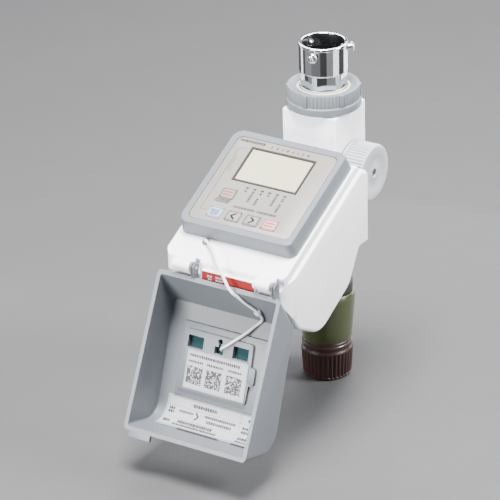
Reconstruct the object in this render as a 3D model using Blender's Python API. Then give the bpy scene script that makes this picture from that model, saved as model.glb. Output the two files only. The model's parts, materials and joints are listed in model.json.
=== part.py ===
"""Tap-mounted irrigation controller: a motor-driven ball valve in a square column, with a
sloping control head in front of it and a solar lid that hangs open below the head.

Frame: +Z up, +X to the right when facing the control panel, the panel faces -Y.
The origin is the centre of the faucet collar's top rim, on the water column's axis.
Every size below is in millimetres; the helpers turn them into Blender's metres.
"""
import math

import bmesh
import bpy
from mathutils import Vector

MM = 0.001
GAP = 0.3

# Faucet collar, union nut and inlet
COLLAR_R = 13.76
COLLAR_BORE_R = 11.8
COLLAR_LAND_R = 11.5
COLLAR_LAND_Z = (-7.2, -19.4)
COLLAR_STEP_Z = -16.1
COLLAR_NECK_R = 13.14
COLLAR_NECK_BORE_R = 10.4
COLLAR_FLAT_R = 12.0
COLLAR_FLANGE_Z = -27.6
CLAMP_Z = -4.5
CLAMP_ANGLES = {"front": 8, "right": 128, "left": 248}
NUT_TOP_Z = -25.0
NUT_BAND_Z = -32.4
NUT_BOTTOM_Z = -36.9
NUT_R = 20.3
NUT_FLANGE_R = 21.0
NUT_BORE_R = 16.0
NUT_LUGS = 6
NUT_POINTS = 48

# Square column with the water way
COLUMN_HALF = 17.0
COLUMN_WALL = 2.2
COLUMN_TOP_Z = -37.6
COLUMN_BOTTOM_Z = -121.6
PIPE_R = 12.0
PIPE_BORE_R = 7.0
COLUMN_SCREW_Z = (-68.6, -96.0)
VALVE_Z = -72.7
BALL_R = 8.2
BALL_BORE_R = 5.5
CHAMBER_R = 9.2
STEM_R = 2.6

# Final drive: the gear on the valve stem and the gear on the motor shaft
GEAR_MODULE = 1.2
STEM_TEETH = 22
DRIVE_TEETH = 19
GEAR_X = (12.4, 14.2)
DRIVE_ANGLE = math.radians(10.2)
GEAR_DISTANCE = GEAR_MODULE * (STEM_TEETH + DRIVE_TEETH) / 2
DRIVE_Y = -GEAR_DISTANCE * math.cos(DRIVE_ANGLE)
DRIVE_Z = VALVE_Z - GEAR_DISTANCE * math.sin(DRIVE_ANGLE)

# Manual knob
KNOB_R = 16.18
KNOB_POINTS = 44
KNOB_BACK_X = 17.8
KNOB_FACE_X = 32.0

# Outlet and hose coupler
SEAL_TOP_Z = -145.1
COUPLER_TOP_Z = -151.4
NUT_HOSE_TOP_Z = -181.4
HOSE_NUT_BOTTOM_Z = -205.0
HOSE_NUT_R = 14.9
HOSE_NUT_POINTS = 44

# Control head: side outline as (y, z), and the plan of its front corners
HEAD_HALF = 39.3
DECK_HALF = 37.6
HEAD_BACK_Y = -17.3
HEAD_FRONT_Y = -107.8
HEAD_EDGE_R = 2.2
HEAD_CAVITY_HALF = 36.6
SHELL_WALL = 2.4
SIDE_FRONT_Y = -95.0
FRONT_HALF = 33.0
SEAM_Y, SEAM_Z, SEAM_SLOPE = -23.8, -78.1, 0.29
CELLS = {"battery_front": -79.0, "battery_rear": -62.0}
CELL_Z = -116.2
CASE_SCREWS = {"case_screw_left": -30.5, "case_screw_right": 30.5}

# Panel frame: its origin is the middle of the bezel's top edge, s runs down the slope
PANEL_TILT = math.radians(25.1)
PANEL_Y, PANEL_Z = -34.43, -46.69
BEZEL_HALF = 35.2
BEZEL_LENGTH = 68.8
DECK_H = -9.6
LEDGE_H = -14.0
LCD_X = (-20.25, 20.84)
LCD_S = (9.55, 34.69)
BUTTON_SIZE = (9.0, 7.4)
BUTTONS = {
    "button_mode": (-16.6, 44.3),
    "button_back": (-17.2, 58.2),
    "button_left": (-5.8, 58.2),
    "button_right": (5.7, 58.2),
    "button_set": (17.1, 58.2),
}

# Lid hinge and lid frame: s runs down the open lid from the hinge axis, t is its depth
HINGE_Y, HINGE_Z = -111.04, -94.26
LID_ANGLE = math.radians(-116.74)
LID_HALF = 38.72
LID_WALL = 2.2
LID_RIM_T = 1.45
LID_FAR_S = 94.12
LID_ABOVE_RIM = -6.0
LID_STEPS = 5
LID_CORNERS = [  # s, t, radius: the side outline, with both walls carried on above the rim
    (0.53, LID_ABOVE_RIM, 0), (18.99, 24.15, 3.0), (88.39, 32.85, 14.0),
    (95.48, LID_ABOVE_RIM, 0),
]
FLOOR_ANGLE = math.atan2(32.85 - 24.15, 88.39 - 18.99)
BARREL_R = 2.85
PIN_R = 1.0
BARRELS = {"left": (-29.0, -18.1), "right": (22.0, 32.0)}
ARMS = {"left": (-17.4, -15.0), "right": (33.3, 35.7)}
POCKET_R = 5.9

CABLE_R = 0.8
CABLE_ROUTE = [  # x, y, z from the gland, over the lid's rim, to the clip and the keyhole
    (-18.0, -95.2, -87.4), (-18.0, -96.1, -85.5), (-17.5, -97.1, -84.3), (-15.4, -98.7, -84.0),
    (-11.1, -101.9, -84.5), (-6.6, -106.4, -85.4), (-3.2, -109.6, -86.7), (-0.3, -112.0, -88.9),
    (3.3, -114.0, -92.1), (5.75, -115.0, -95.3), (8.2, -115.6, -98.7), (10.6, -115.3, -101.4),
    (12.2, -113.6, -103.7), (13.7, -112.1, -105.9), (15.4, -111.0, -107.8), (18.5, -109.0, -110.9),
    (21.0, -107.3, -113.7), (22.0, -105.2, -117.0), (21.2, -103.2, -120.0), (19.4, -102.1, -122.3),
    (17.5, -102.8, -124.2), (15.9, -104.3, -125.7), (12.2, -106.7, -129.3), (7.6, -108.8, -133.1),
    (3.7, -110.2, -136.4), (1.5, -111.0, -138.0), (-0.3, -110.9, -139.4), (-1.1, -109.9, -140.7),
    (-1.3, -108.6, -141.7),
]
CLIP_AT = (21.0, -107.3, -113.7)
CLIP_ALONG = (0.42, 0.45, -0.79)

WHITE = ("casing_white", (0.80, 0.80, 0.82), 0.42, 0.0)
GREY = ("trim_grey", (0.43, 0.46, 0.49), 0.45, 0.0)
CREAM = ("overlay_cream", (0.76, 0.74, 0.70), 0.5, 0.0)
CHROME = ("chrome", (0.62, 0.63, 0.65), 0.12, 1.0)
RUBBER = ("rubber_black", (0.02, 0.02, 0.02), 0.7, 0.0)
PACKING = ("packing_cream", (0.78, 0.75, 0.66), 0.6, 0.0)
GREEN = ("coupler_green", (0.17, 0.19, 0.05), 0.3, 0.0)
BROWN = ("nut_brown", (0.07, 0.02, 0.018), 0.4, 0.0)
STEEL = ("steel", (0.55, 0.56, 0.58), 0.3, 1.0)
BOARD = ("board_green", (0.02, 0.16, 0.17), 0.45, 0.0)
DARK = ("frame_dark", (0.10, 0.085, 0.07), 0.5, 0.0)
LCD = ("lcd_face", (0.72, 0.70, 0.60), 0.25, 0.0)
CELL = ("solar_cell", (0.01, 0.02, 0.05), 0.15, 0.0)
RED = ("label_red", (0.62, 0.04, 0.025), 0.5, 0.0)
PAPER = ("label_white", (0.85, 0.85, 0.86), 0.6, 0.0)
LEAD = ("lead_white", (0.84, 0.84, 0.84), 0.45, 0.0)
BATTERY = ("battery_sleeve", (0.10, 0.14, 0.22), 0.4, 0.0)


# ------------------------------------------------------------------ helpers

def clear_scene():
    for old in list(bpy.data.objects):
        bpy.data.objects.remove(old, do_unlink=True)


def paint(finish):
    """The Principled material of a (name, colour, roughness, metallic) finish."""
    name, colour, roughness, metallic = finish
    found = bpy.data.materials.get(name)
    if found:
        return found
    made = bpy.data.materials.new(name)
    made.use_nodes = True
    shader = made.node_tree.nodes["Principled BSDF"]
    shader.inputs["Base Color"].default_value = (*colour, 1.0)
    shader.inputs["Roughness"].default_value = roughness
    shader.inputs["Metallic"].default_value = metallic
    return made


def make(name, bm, finish, parent=None, at=(0, 0, 0)):
    """Turns a mesh in millimetres into a named object in metres."""
    bmesh.ops.scale(bm, vec=(MM, MM, MM), verts=bm.verts)
    bmesh.ops.recalc_face_normals(bm, faces=bm.faces)
    mesh = bpy.data.meshes.new(name)
    bm.to_mesh(mesh)
    bm.free()
    mesh.materials.append(paint(finish))
    mesh.shade_smooth()
    mesh.set_sharp_from_angle(angle=math.radians(32))
    obj = bpy.data.objects.new(name, mesh)
    bpy.context.scene.collection.objects.link(obj)
    obj.location = Vector(at) * MM
    obj.parent = parent
    return obj


def combine(target, tool, operation):
    """Joins, cuts or intersects target with tool, which is used up."""
    step = target.modifiers.new("combine", "BOOLEAN")
    step.operation = operation
    step.solver = "EXACT"
    step.object = tool
    bpy.context.view_layer.update()
    evaluated = target.evaluated_get(bpy.context.evaluated_depsgraph_get())
    result = bpy.data.meshes.new_from_object(evaluated)
    target.modifiers.remove(step)
    target.data = result
    result.shade_smooth()
    result.set_sharp_from_angle(angle=math.radians(32))
    bpy.data.objects.remove(tool, do_unlink=True)
    return target


def tool(bm, parent=None, at=(0, 0, 0)):
    """A shape that combine() uses up."""
    return make("tool", bm, WHITE, parent, at)


def cut(target, *tools):
    for one in tools:
        combine(target, one, "DIFFERENCE")
    return target


def join(target, *tools):
    for one in tools:
        combine(target, one, "UNION")
    return target


def frame_empty(name, x, y, z, tilt):
    empty = bpy.data.objects.new(name, None)
    bpy.context.scene.collection.objects.link(empty)
    empty.location = Vector((x, y, z)) * MM
    empty.rotation_euler = (tilt, 0, 0)
    bpy.context.view_layer.update()
    return empty


def turned(profile, segments=32, axis="Z", ribs=0.0, phase=0.0):
    """A closed outline of (radius, height, ribbed) points turned about an axis.

    Where ribbed is true, every second point around stands in by ribs. A radius of 0 is a pole.
    """
    bm = bmesh.new()
    rings = []
    for point in profile:
        radius, height = point[0], point[1]
        depth = ribs if len(point) > 2 and point[2] else 0.0
        if radius == 0:
            rings.append([bm.verts.new((0, 0, height))])
            continue
        ring = []
        for i in range(segments):
            angle = phase + 2 * math.pi * i / segments
            r = radius - depth * (i % 2)
            ring.append(bm.verts.new((r * math.cos(angle), r * math.sin(angle), height)))
        rings.append(ring)
    for a, b in zip(rings, rings[1:] + rings[:1]):
        if len(a) == 1 and len(b) == 1:
            continue
        for i in range(segments):
            j = (i + 1) % segments
            corners = [a[i % len(a)], a[j % len(a)], b[j % len(b)], b[i % len(b)]]
            bm.faces.new(list(dict.fromkeys(corners)))
    aim(bm, axis)
    return bm


def aim(bm, axis):
    """Turns a shape made along Z so that it lies along the given axis."""
    if axis == "X":
        for v in bm.verts:
            v.co = Vector((v.co.z, v.co.x, v.co.y))
    elif axis == "Y":
        for v in bm.verts:
            v.co = Vector((v.co.y, v.co.z, v.co.x))
    return bm


def prism(outline, low, high, axis="Z", rim=0.0, steps=2):
    """An outline extruded from low to high. Along X it is (y, z), along Y (z, x), along Z (x, y).

    rim rounds the edges of both end faces.
    """
    bm = bmesh.new()
    bottom = [bm.verts.new((x, y, low)) for x, y in outline]
    top = [bm.verts.new((x, y, high)) for x, y in outline]
    bm.faces.new(bottom[::-1])
    bm.faces.new(top)
    for i in range(len(outline)):
        j = (i + 1) % len(outline)
        bm.faces.new((bottom[i], bottom[j], top[j], top[i]))
    if rim:
        edges = [e for e in bm.edges if abs(e.verts[0].co.z - e.verts[1].co.z) < 1e-6]
        bmesh.ops.bevel(bm, geom=edges, offset=rim, segments=steps, profile=0.5, affect="EDGES")
    return aim(bm, axis)


def disc(radius, low, high, axis="Z", segments=24, centre=(0, 0)):
    """A round bar; centre is its place across the axis, as prism()'s outline is."""
    outline = [
        (centre[0] + radius * math.cos(2 * math.pi * i / segments),
         centre[1] + radius * math.sin(2 * math.pi * i / segments))
        for i in range(segments)
    ]
    return prism(outline, low, high, axis)


def block(x0, x1, y0, y1, z0, z1, rim=0.0):
    bm = prism([(x0, y0), (x1, y0), (x1, y1), (x0, y1)], z0, z1)
    if rim:
        bmesh.ops.bevel(bm, geom=bm.edges[:], offset=rim, segments=2, profile=0.5, affect="EDGES")
    return bm


def fillet(corners, steps=4):
    """An outline from (x, y, radius) corners, each rounded by an arc of its radius."""
    points = []
    for i, (x, y, radius) in enumerate(corners):
        here = Vector((x, y))
        back = (Vector(corners[i - 1][:2]) - here).normalized()
        ahead = (Vector(corners[(i + 1) % len(corners)][:2]) - here).normalized()
        half = back.angle(ahead) / 2
        if radius <= 0 or half > math.pi / 2 - 1e-3:
            points.append((x, y))
            continue
        reach = radius / math.tan(half)
        centre = here + (back + ahead).normalized() * (radius / math.sin(half))
        start, end = here + back * reach - centre, here + ahead * reach - centre
        sweep = start.angle_signed(end)
        for k in range(steps + 1):
            turn = -sweep * k / steps
            point = Vector((
                start.x * math.cos(turn) - start.y * math.sin(turn),
                start.x * math.sin(turn) + start.y * math.cos(turn),
            )) + centre
            points.append((point.x, point.y))
    return points


def inset(corners, depth):
    """Moves an outline's sides in by depth and changes its corner radii to match."""
    area = sum(a[0] * b[1] - b[0] * a[1] for a, b in zip(corners, corners[1:] + corners[:1]))
    side = 1 if area > 0 else -1
    moved = []
    for i, (x, y, radius) in enumerate(corners):
        here = Vector((x, y))
        arrive = (here - Vector(corners[i - 1][:2])).normalized()
        leave = (Vector(corners[(i + 1) % len(corners)][:2]) - here).normalized()
        normals = [Vector((-v.y, v.x)) * side for v in (arrive, leave)]
        place = here + (normals[0] + normals[1]) * depth / (1 + normals[0].dot(normals[1]))
        outward = (arrive.x * leave.y - arrive.y * leave.x) * side > 0
        if radius:
            radius = max(radius - depth, 0.2) if outward else radius + depth
        moved.append((place.x, place.y, radius))
    return moved


def soft_prism(corners, half, radius, steps=2, arc_steps=4):
    """A prism from -half to +half along X whose end edges are rounded all the way round."""
    levels = []
    for k in range(steps + 1):
        turn = math.pi / 2 * k / steps
        levels.append((half - radius * (1 - math.cos(turn)), radius * (1 - math.sin(turn))))
    levels = [(-x, depth) for x, depth in levels[::-1]][::-1] + levels[::-1]
    levels.sort()
    bm = bmesh.new()
    rings = []
    for x, depth in levels:
        outline = fillet(inset(corners, depth), arc_steps)
        rings.append([bm.verts.new((x, u, v)) for u, v in outline])
    for a, b in zip(rings, rings[1:]):
        for i in range(len(a)):
            j = (i + 1) % len(a)
            bm.faces.new((a[i], a[j], b[j], b[i]))
    bm.faces.new(rings[0][::-1])
    bm.faces.new(rings[-1])
    return bm


def box_outline(x0, x1, y0, y1, radius=0.0, steps=4):
    return fillet([(x0, y0, radius), (x1, y0, radius), (x1, y1, radius), (x0, y1, radius)], steps)


# ------------------------------------------------------------------ frames

def panel_point(s, h):
    """(y, z) of a place s down the panel and h above the bezel's top face."""
    y = PANEL_Y - s * math.cos(PANEL_TILT) - h * math.sin(PANEL_TILT)
    z = PANEL_Z - s * math.sin(PANEL_TILT) + h * math.cos(PANEL_TILT)
    return y, z


def on_panel(name, x0, x1, s0, s1, h0, h1, finish, frame, radius=0.0, rim=0.0):
    """A plate lying in the panel frame."""
    outline = box_outline(x0, x1, -s1, -s0, radius) if radius else [
        (x0, -s1), (x1, -s1), (x1, -s0), (x0, -s0)]
    return make(name, prism(outline, h0, h1, rim=rim), finish, frame)


def lid_point(along, height):
    """(s, t) of a place on the lid's floor: along it from the hinge end, height into the tray."""
    floor_s, floor_t, _ = inset(LID_CORNERS, LID_WALL)[1]
    s = floor_s + along * math.cos(FLOOR_ANGLE) + height * math.sin(FLOOR_ANGLE)
    t = floor_t + along * math.sin(FLOOR_ANGLE) - height * math.cos(FLOOR_ANGLE)
    return s, t


def floor_plate(outline, low, high):
    """A plate parallel to the lid's floor: an outline of (x, along) from one height to another."""
    bm = prism(outline, low, high)
    for v in bm.verts:
        v.co = Vector((v.co.x, *lid_point(v.co.y, v.co.z)))
    return bm


def floor_slab(x0, x1, a0, a1, low, high):
    return floor_plate([(x0, a0), (x1, a0), (x1, a1), (x0, a1)], low, high)


# ------------------------------------------------------------------ inlet

def faucet_collar():
    profile = [
        (COLLAR_NECK_BORE_R, -29.4), (15.6, -29.4), (15.6, COLLAR_FLANGE_Z),
        (COLLAR_NECK_R, COLLAR_FLANGE_Z), (COLLAR_NECK_R, COLLAR_STEP_Z - 0.6),
        (COLLAR_R, COLLAR_STEP_Z), (COLLAR_R, -0.4), (COLLAR_R - 0.4, 0.0),
        (COLLAR_BORE_R, 0.0), (COLLAR_BORE_R, COLLAR_LAND_Z[0]), (COLLAR_LAND_R, COLLAR_LAND_Z[0]),
        (COLLAR_LAND_R, COLLAR_LAND_Z[1]), (COLLAR_NECK_BORE_R, COLLAR_LAND_Z[1] - 0.6),
    ]
    collar = make("faucet_collar", turned(profile, 40), CHROME)
    for angle in CLAMP_ANGLES.values():
        drill = tool(disc(2.2, 6, 20, "X", 16), at=(0, 0, CLAMP_Z))
        drill.rotation_euler = (0, 0, math.radians(angle - 90))
        cut(collar, drill)
        for turn in (30, 90):
            flat = tool(block(COLLAR_FLAT_R, 16, -7, 7, COLLAR_FLANGE_Z + 0.8, COLLAR_STEP_Z - 0.9))
            flat.rotation_euler = (0, 0, math.radians(angle - 90 + turn))
            cut(collar, flat)


def clamp_screws():
    """Cross-head screws that grip the tap's spout, pointing at the axis."""
    for side, angle in CLAMP_ANGLES.items():
        shape = turned([
            (0, 9.0), (1.2, 9.0), (1.9, 9.7), (1.9, 15.2), (2.9, 15.2), (2.9, 16.2),
            (2.2, 17.1), (0, 17.4),
        ], 16, "X")
        screw = make("clamp_screw_" + side, shape, STEEL)
        for slot in (block(16.2, 18, -1.6, 1.6, -0.35, 0.35), block(16.2, 18, -0.35, 0.35, -1.6, 1.6)):
            cut(screw, tool(slot))
        screw.location = (0, 0, CLAMP_Z * MM)
        screw.rotation_euler = (0, 0, math.radians(angle - 90))


def inlet_rings():
    cone = [(7.4, -29.0), (10.1, -29.0), (10.1, -23.0), (8.8, -20.5), (7.4, -20.5)]
    make("faucet_packing", turned(cone, 24), RUBBER)
    slip = [(13.5, -27.3), (16.6, -27.3), (16.6, -26.5), (14.9, -26.5), (14.9, -25.3), (13.5, -25.3)]
    make("slip_ring", turned(slip), PACKING)
    washer = [(8.2, -31.0), (15.2, -31.0), (15.2, -29.7), (8.2, -29.7)]
    make("union_washer", turned(washer), RUBBER)


def union_nut():
    profile = [
        (NUT_BORE_R, NUT_BOTTOM_Z), (NUT_FLANGE_R, NUT_BOTTOM_Z), (NUT_FLANGE_R, NUT_BAND_Z - 0.2),
        (NUT_R, NUT_BAND_Z, True), (NUT_R, NUT_TOP_Z - 0.4, True), (NUT_R - 0.8, NUT_TOP_Z),
        (15.5, NUT_TOP_Z), (15.2, NUT_TOP_Z - 0.3), (15.2, -26.2), (16.9, -26.2),
        (16.9, COLLAR_FLANGE_Z), (NUT_BORE_R, COLLAR_FLANGE_Z),
    ]
    nut = make("union_nut", turned(profile, NUT_POINTS, ribs=0.6), GREY)
    for i in range(NUT_LUGS):
        lug = tool(block(-0.9, 0.9, -NUT_R - 0.5, -NUT_R + 1.4, NUT_BAND_Z - 0.4, NUT_TOP_Z + 0.5))
        lug.rotation_euler = (0, 0, 2 * math.pi * i / NUT_LUGS)
        join(nut, lug)


def inlet_strainer():
    profile = [
        (0, -40.0), (5.6, -40.0), (6.4, -33.0), (7.6, -32.4), (7.6, -31.5), (5.7, -31.5),
        (4.8, -39.2), (0, -39.2),
    ]
    make("inlet_strainer", turned(profile, 20), STEEL)


# ------------------------------------------------------------------ valve

def valve_column():
    column = make("valve_column", prism(
        box_outline(-COLUMN_HALF, COLUMN_HALF, -COLUMN_HALF, COLUMN_HALF, 1.6, 3),
        COLUMN_BOTTOM_Z, COLUMN_TOP_Z, rim=0.5, steps=1), WHITE)
    inner = COLUMN_HALF - COLUMN_WALL
    cut(
        column,
        tool(block(-inner, inner, -inner, inner, COLUMN_BOTTOM_Z - 1, COLUMN_TOP_Z - 2.4)),
        tool(disc(PIPE_R + 0.4, -42, -36)),
        tool(disc(STEM_R + 0.8, 10, 20, "X", centre=(0, VALVE_Z))),
        tool(gear_slot()),
    )
    for z in COLUMN_SCREW_Z:
        cut(column, tool(disc(1.5, -19, -12, "Y", 16, (z, 0))))


def gear_slot():
    """The window that the drive gear reaches through, from the head into the column."""
    return block(GEAR_X[0] - 0.5, GEAR_X[1] + 0.5, -21, -12, DRIVE_Z - 12, DRIVE_Z + 12)


def column_base():
    inner = COLUMN_HALF - COLUMN_WALL - GAP
    plate = make("column_base", block(-inner, inner, -inner, inner, -121.4, -118.8), WHITE)
    cut(plate, tool(disc(9.9, -123, -117)))


def inlet_pipe():
    profile = [
        (8.0, -31.3), (15.6, -31.3), (15.6, -37.3), (PIPE_R, -37.3), (PIPE_R, -84.0),
        (CHAMBER_R, -84.0), (CHAMBER_R, -60.5), (PIPE_BORE_R, -60.5), (PIPE_BORE_R, -41.0),
        (8.0, -40.6),
    ]
    pipe = make("inlet_pipe", turned(profile, 28), GREY)
    cut(
        pipe,
        tool(disc(STEM_R + GAP, 6, 14, "X", 16, (0, VALVE_Z))),
        tool(disc(4.5, 10.2, 14, "X", 16, (0, VALVE_Z))),
    )


def outlet_pipe():
    profile = [
        (6.0, -84.3), (PIPE_R, -84.3), (PIPE_R, -88.0), (9.4, -88.0), (9.4, -156.0),
        (8.6, -157.0), (6.0, -157.0),
    ]
    make("outlet_pipe", turned(profile, 28), GREY)


def ball_valve():
    """The ball with its water way and stem slot, the seats above and below it, and the stem."""
    profile = [(0, -BALL_R)]
    profile += [(BALL_R * math.cos(math.radians(a)), BALL_R * math.sin(math.radians(a)))
                for a in range(-72, 73, 18)]
    profile += [(0, BALL_R)]
    ball = make("valve_ball", turned(profile, 24), CHROME, at=(0, 0, VALVE_Z))
    bpy.context.view_layer.update()
    cut(
        ball,
        tool(disc(BALL_BORE_R, -10, 10, segments=20), at=(0, 0, VALVE_Z)),
        tool(block(6.2, 9, -1.3, 1.3, -9, 9), at=(0, 0, VALVE_Z)),
    )
    for name, side in (("seat_upper", 1), ("seat_lower", -1)):
        ring = [(5.6, 6.4), (7.2, 4.6), (8.9, 4.6), (8.9, 11.2), (5.6, 11.2)]
        shape = turned([(r, side * h) for r, h in ring], 24)
        make(name, shape, PACKING, at=(0, 0, VALVE_Z))
    stem = make("valve_stem", disc(STEM_R, 8.6, 26.6, "X", 16), STEEL, at=(0, 0, VALVE_Z))
    join(stem, tool(block(6.6, 9.0, -1.0, 1.0, -2.2, 2.2), at=(0, 0, VALVE_Z)))
    seal = [(STEM_R + GAP, 10.5), (4.1, 10.5), (4.1, 11.9), (STEM_R + GAP, 11.9)]
    make("stem_seal", turned(seal, 16, "X"), RUBBER, at=(0, 0, VALVE_Z))


def spur_gear(name, teeth, y, z, phase):
    """A spur gear about an X axis, with straight-sided teeth."""
    pitch = GEAR_MODULE * teeth / 2
    root, tip = pitch - 0.9 * GEAR_MODULE, pitch + 0.6 * GEAR_MODULE
    outline = []
    for i in range(teeth):
        for r, share in ((root, -0.30), (tip, -0.13), (tip, 0.13), (root, 0.30)):
            angle = phase + 2 * math.pi * (i + share) / teeth
            outline.append((r * math.cos(angle), r * math.sin(angle)))
    gear = make(name, prism(outline, *GEAR_X, "X"), PACKING, at=(0, y, z))
    bpy.context.view_layer.update()
    return gear


def final_drive():
    """The stem gear has a tooth, and the drive gear a gap, on the line between their axes."""
    toward = math.pi + DRIVE_ANGLE
    stem_gear = spur_gear("stem_gear", STEM_TEETH, 0, VALVE_Z, toward)
    cut(stem_gear, tool(disc(STEM_R + GAP, 10, 16, "X", 16), at=(0, 0, VALVE_Z)))
    drive_gear = spur_gear("drive_gear", DRIVE_TEETH, DRIVE_Y, DRIVE_Z,
                           toward - math.pi + math.pi / DRIVE_TEETH)
    join(drive_gear, tool(disc(1.5, 10.9, 14.6, "X", 12), at=(0, DRIVE_Y, DRIVE_Z)))
    make("gear_motor", block(-14.5, 10.6, -4.2, 4.2, -6, 6, 0.6), STEEL,
         at=(0, DRIVE_Y, DRIVE_Z))


def manual_knob():
    profile = [
        (STEM_R + GAP, KNOB_BACK_X), (KNOB_R + 0.4, KNOB_BACK_X), (KNOB_R + 0.4, KNOB_BACK_X + 1.2),
        (KNOB_R, KNOB_BACK_X + 1.4, True), (KNOB_R, KNOB_FACE_X - 1.0, True),
        (KNOB_R - 1.0, KNOB_FACE_X), (2.3, KNOB_FACE_X), (2.3, 27.4), (STEM_R + GAP, 27.4),
    ]
    make("manual_knob", turned(profile, KNOB_POINTS, "X", ribs=0.55), GREY, at=(0, 0, VALVE_Z))
    screw = [(0, 26.9), (1.1, 26.9), (1.1, 28.6), (2.0, 28.6), (2.0, 30.4), (0, 30.8)]
    make("knob_screw", turned(screw, 12, "X"), STEEL, at=(0, 0, VALVE_Z))


# ------------------------------------------------------------------ outlet

def outlet_adapter():
    profile = [
        (9.8, -144.8), (13.6, -144.8), (14.2, -144.2), (14.2, -130.0), (13.4, -129.4),
        (13.4, -121.9), (9.8, -121.9),
    ]
    make("outlet_adapter", turned(profile), WHITE)
    seal = [(9.8, -151.1), (14.7, -151.1), (15.1, -150.4), (15.1, -145.9), (14.7, SEAL_TOP_Z),
            (9.8, SEAL_TOP_Z)]
    make("outlet_seal", turned(seal), RUBBER)


def hose_coupler():
    profile = [
        (7.1, -184.0), (10.4, -184.0), (10.4, -192.0), (12.0, -192.0), (12.0, -181.1),
        (14.3, -181.1), (15.9, -163.6), (16.4, -155.4), (15.5, COUPLER_TOP_Z),
        (9.8, COUPLER_TOP_Z), (9.8, -160.0), (7.1, -160.0),
    ]
    make("hose_coupler", turned(profile, 32), GREEN)
    spigot = [(5.5, -200.0), (6.3, -200.0), (6.8, -198.5), (6.8, -160.3), (5.5, -160.3)]
    make("hose_spigot", turned(spigot, 24), GREEN)
    collet = [(8.7, -202.2), (10.2, -202.2), (11.7, -195.4), (11.7, -192.4), (8.7, -192.4)]
    make("hose_collet", turned(collet, 24), PACKING)


def hose_nut():
    profile = [
        (8.8, -203.4), (8.8, HOSE_NUT_BOTTOM_Z), (12.2, HOSE_NUT_BOTTOM_Z),
        (14.0, -202.6, True), (HOSE_NUT_R, -188.2, True), (HOSE_NUT_R, -187.2),
        (HOSE_NUT_R - 0.9, -186.2), (HOSE_NUT_R - 0.5, -185.2), (HOSE_NUT_R - 0.5, NUT_HOSE_TOP_Z),
        (12.4, NUT_HOSE_TOP_Z), (12.4, -195.0), (10.7, -202.6),
    ]
    make("hose_nut", turned(profile, HOSE_NUT_POINTS, ribs=0.7), BROWN)


# ------------------------------------------------------------------ control head

def head_corners(front):
    """The head's side outline: ledge on top, flat back, a step over the hose, a low nose."""
    return [
        (HEAD_BACK_Y, panel_z_at(HEAD_BACK_Y, LEDGE_H), 9.0),
        (front, panel_z_at(front, LEDGE_H), 1.5),
        (front, -104.8, 3.0),
        (-95.5, -125.2, 12.0),
        (-72.5, -138.0, 16.0),
        (-40.2, -122.2, 14.0),
        (-29.5, -104.2, 3.0),
        (HEAD_BACK_Y, -104.1, 1.5),
    ]


def panel_z_at(y, h):
    """Height of the plane h above the bezel's top face, at y."""
    s = (PANEL_Y - y - h * math.sin(PANEL_TILT)) / math.cos(PANEL_TILT)
    return panel_point(s, h)[1]


def head_plan():
    """Plan outline: long curved front corners and small round back corners."""
    points = [(HEAD_HALF, HEAD_BACK_Y, 4.5), (-HEAD_HALF, HEAD_BACK_Y, 4.5)]
    back = fillet(points + [(-HEAD_HALF, SIDE_FRONT_Y, 0), (HEAD_HALF, SIDE_FRONT_Y, 0)], 4)
    depth = HEAD_FRONT_Y + 0.08 - SIDE_FRONT_Y
    width = HEAD_HALF - FRONT_HALF
    arc = [math.radians(a) for a in range(0, 91, 15)]
    left = [(-FRONT_HALF - width * math.cos(a), SIDE_FRONT_Y + depth * math.sin(a)) for a in arc]
    right = [(-x, y) for x, y in left[::-1]]
    return [p for p in back if p[1] > SIDE_FRONT_Y] + left + right


def deck_outline():
    back_y, back_z = panel_point(-4.0, DECK_H)
    return fillet([
        (back_y, back_z, 4.0),
        (HEAD_FRONT_Y - 0.05, panel_z_at(HEAD_FRONT_Y, DECK_H), 3.0),
        (HEAD_FRONT_Y - 0.05, -97.5, 0),
        (-25.5, -66.0, 0),
    ], 4)


def casing(panel):
    """The head's whole outer form with its cavity, before it is split into two shells."""
    outer = tool(soft_prism(head_corners(HEAD_FRONT_Y), HEAD_HALF, HEAD_EDGE_R))
    join(outer, tool(prism(deck_outline(), -DECK_HALF, DECK_HALF, "X", rim=1.0, steps=1)))
    combine(outer, tool(prism(head_plan(), -150, -30)), "INTERSECT")
    for low, high in BARRELS.values():
        lug = block(low + 0.2, high - 0.2, HINGE_Y, HEAD_FRONT_Y + 1.5,
                    HINGE_Z - BARREL_R + 0.4, HINGE_Z + 2.2)
        join(outer, tool(lug), tool(disc(BARREL_R, low, high, "X", 20, (HINGE_Y, HINGE_Z))))
    join(outer, tool(block(-12.4, 21.0, -109.6, HEAD_FRONT_Y + 1, -101.9, -95.4)))
    cavity = fillet(inset(head_corners(HEAD_FRONT_Y + 3.4), SHELL_WALL), 5)
    under_deck = prism([(-35.2, -78.0), (35.2, -78.0), (35.2, 1.0), (-35.2, 1.0)], -19, -12.2)
    cut(outer, tool(prism(cavity, -HEAD_CAVITY_HALF, HEAD_CAVITY_HALF, "X")),
        tool(under_deck, panel))
    for low, high in ARMS.values():
        reach = 3.0 if high > 30 else 0.4
        cut(outer, tool(disc(POCKET_R, low - 0.35, high + reach, "X", 24, (HINGE_Y, HINGE_Z))))
    for low, high in BARRELS.values():
        cut(outer, tool(disc(PIN_R + GAP, low - 1, high + 1, "X", 12, (HINGE_Y, HINGE_Z))))
    return outer


def seam_half(above):
    """Everything above, or below, the sloping seam between the two shells."""
    shift = GAP / 2 if above else -GAP / 2
    near, far = 0.0, -130.0
    line = [(y, SEAM_Z + SEAM_SLOPE * (y - SEAM_Y) + shift) for y in (near, far)]
    edge = -20.0 if above else -180.0
    return prism([line[0], line[1], (far, edge), (near, edge)], -60, 60, "X")


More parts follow.
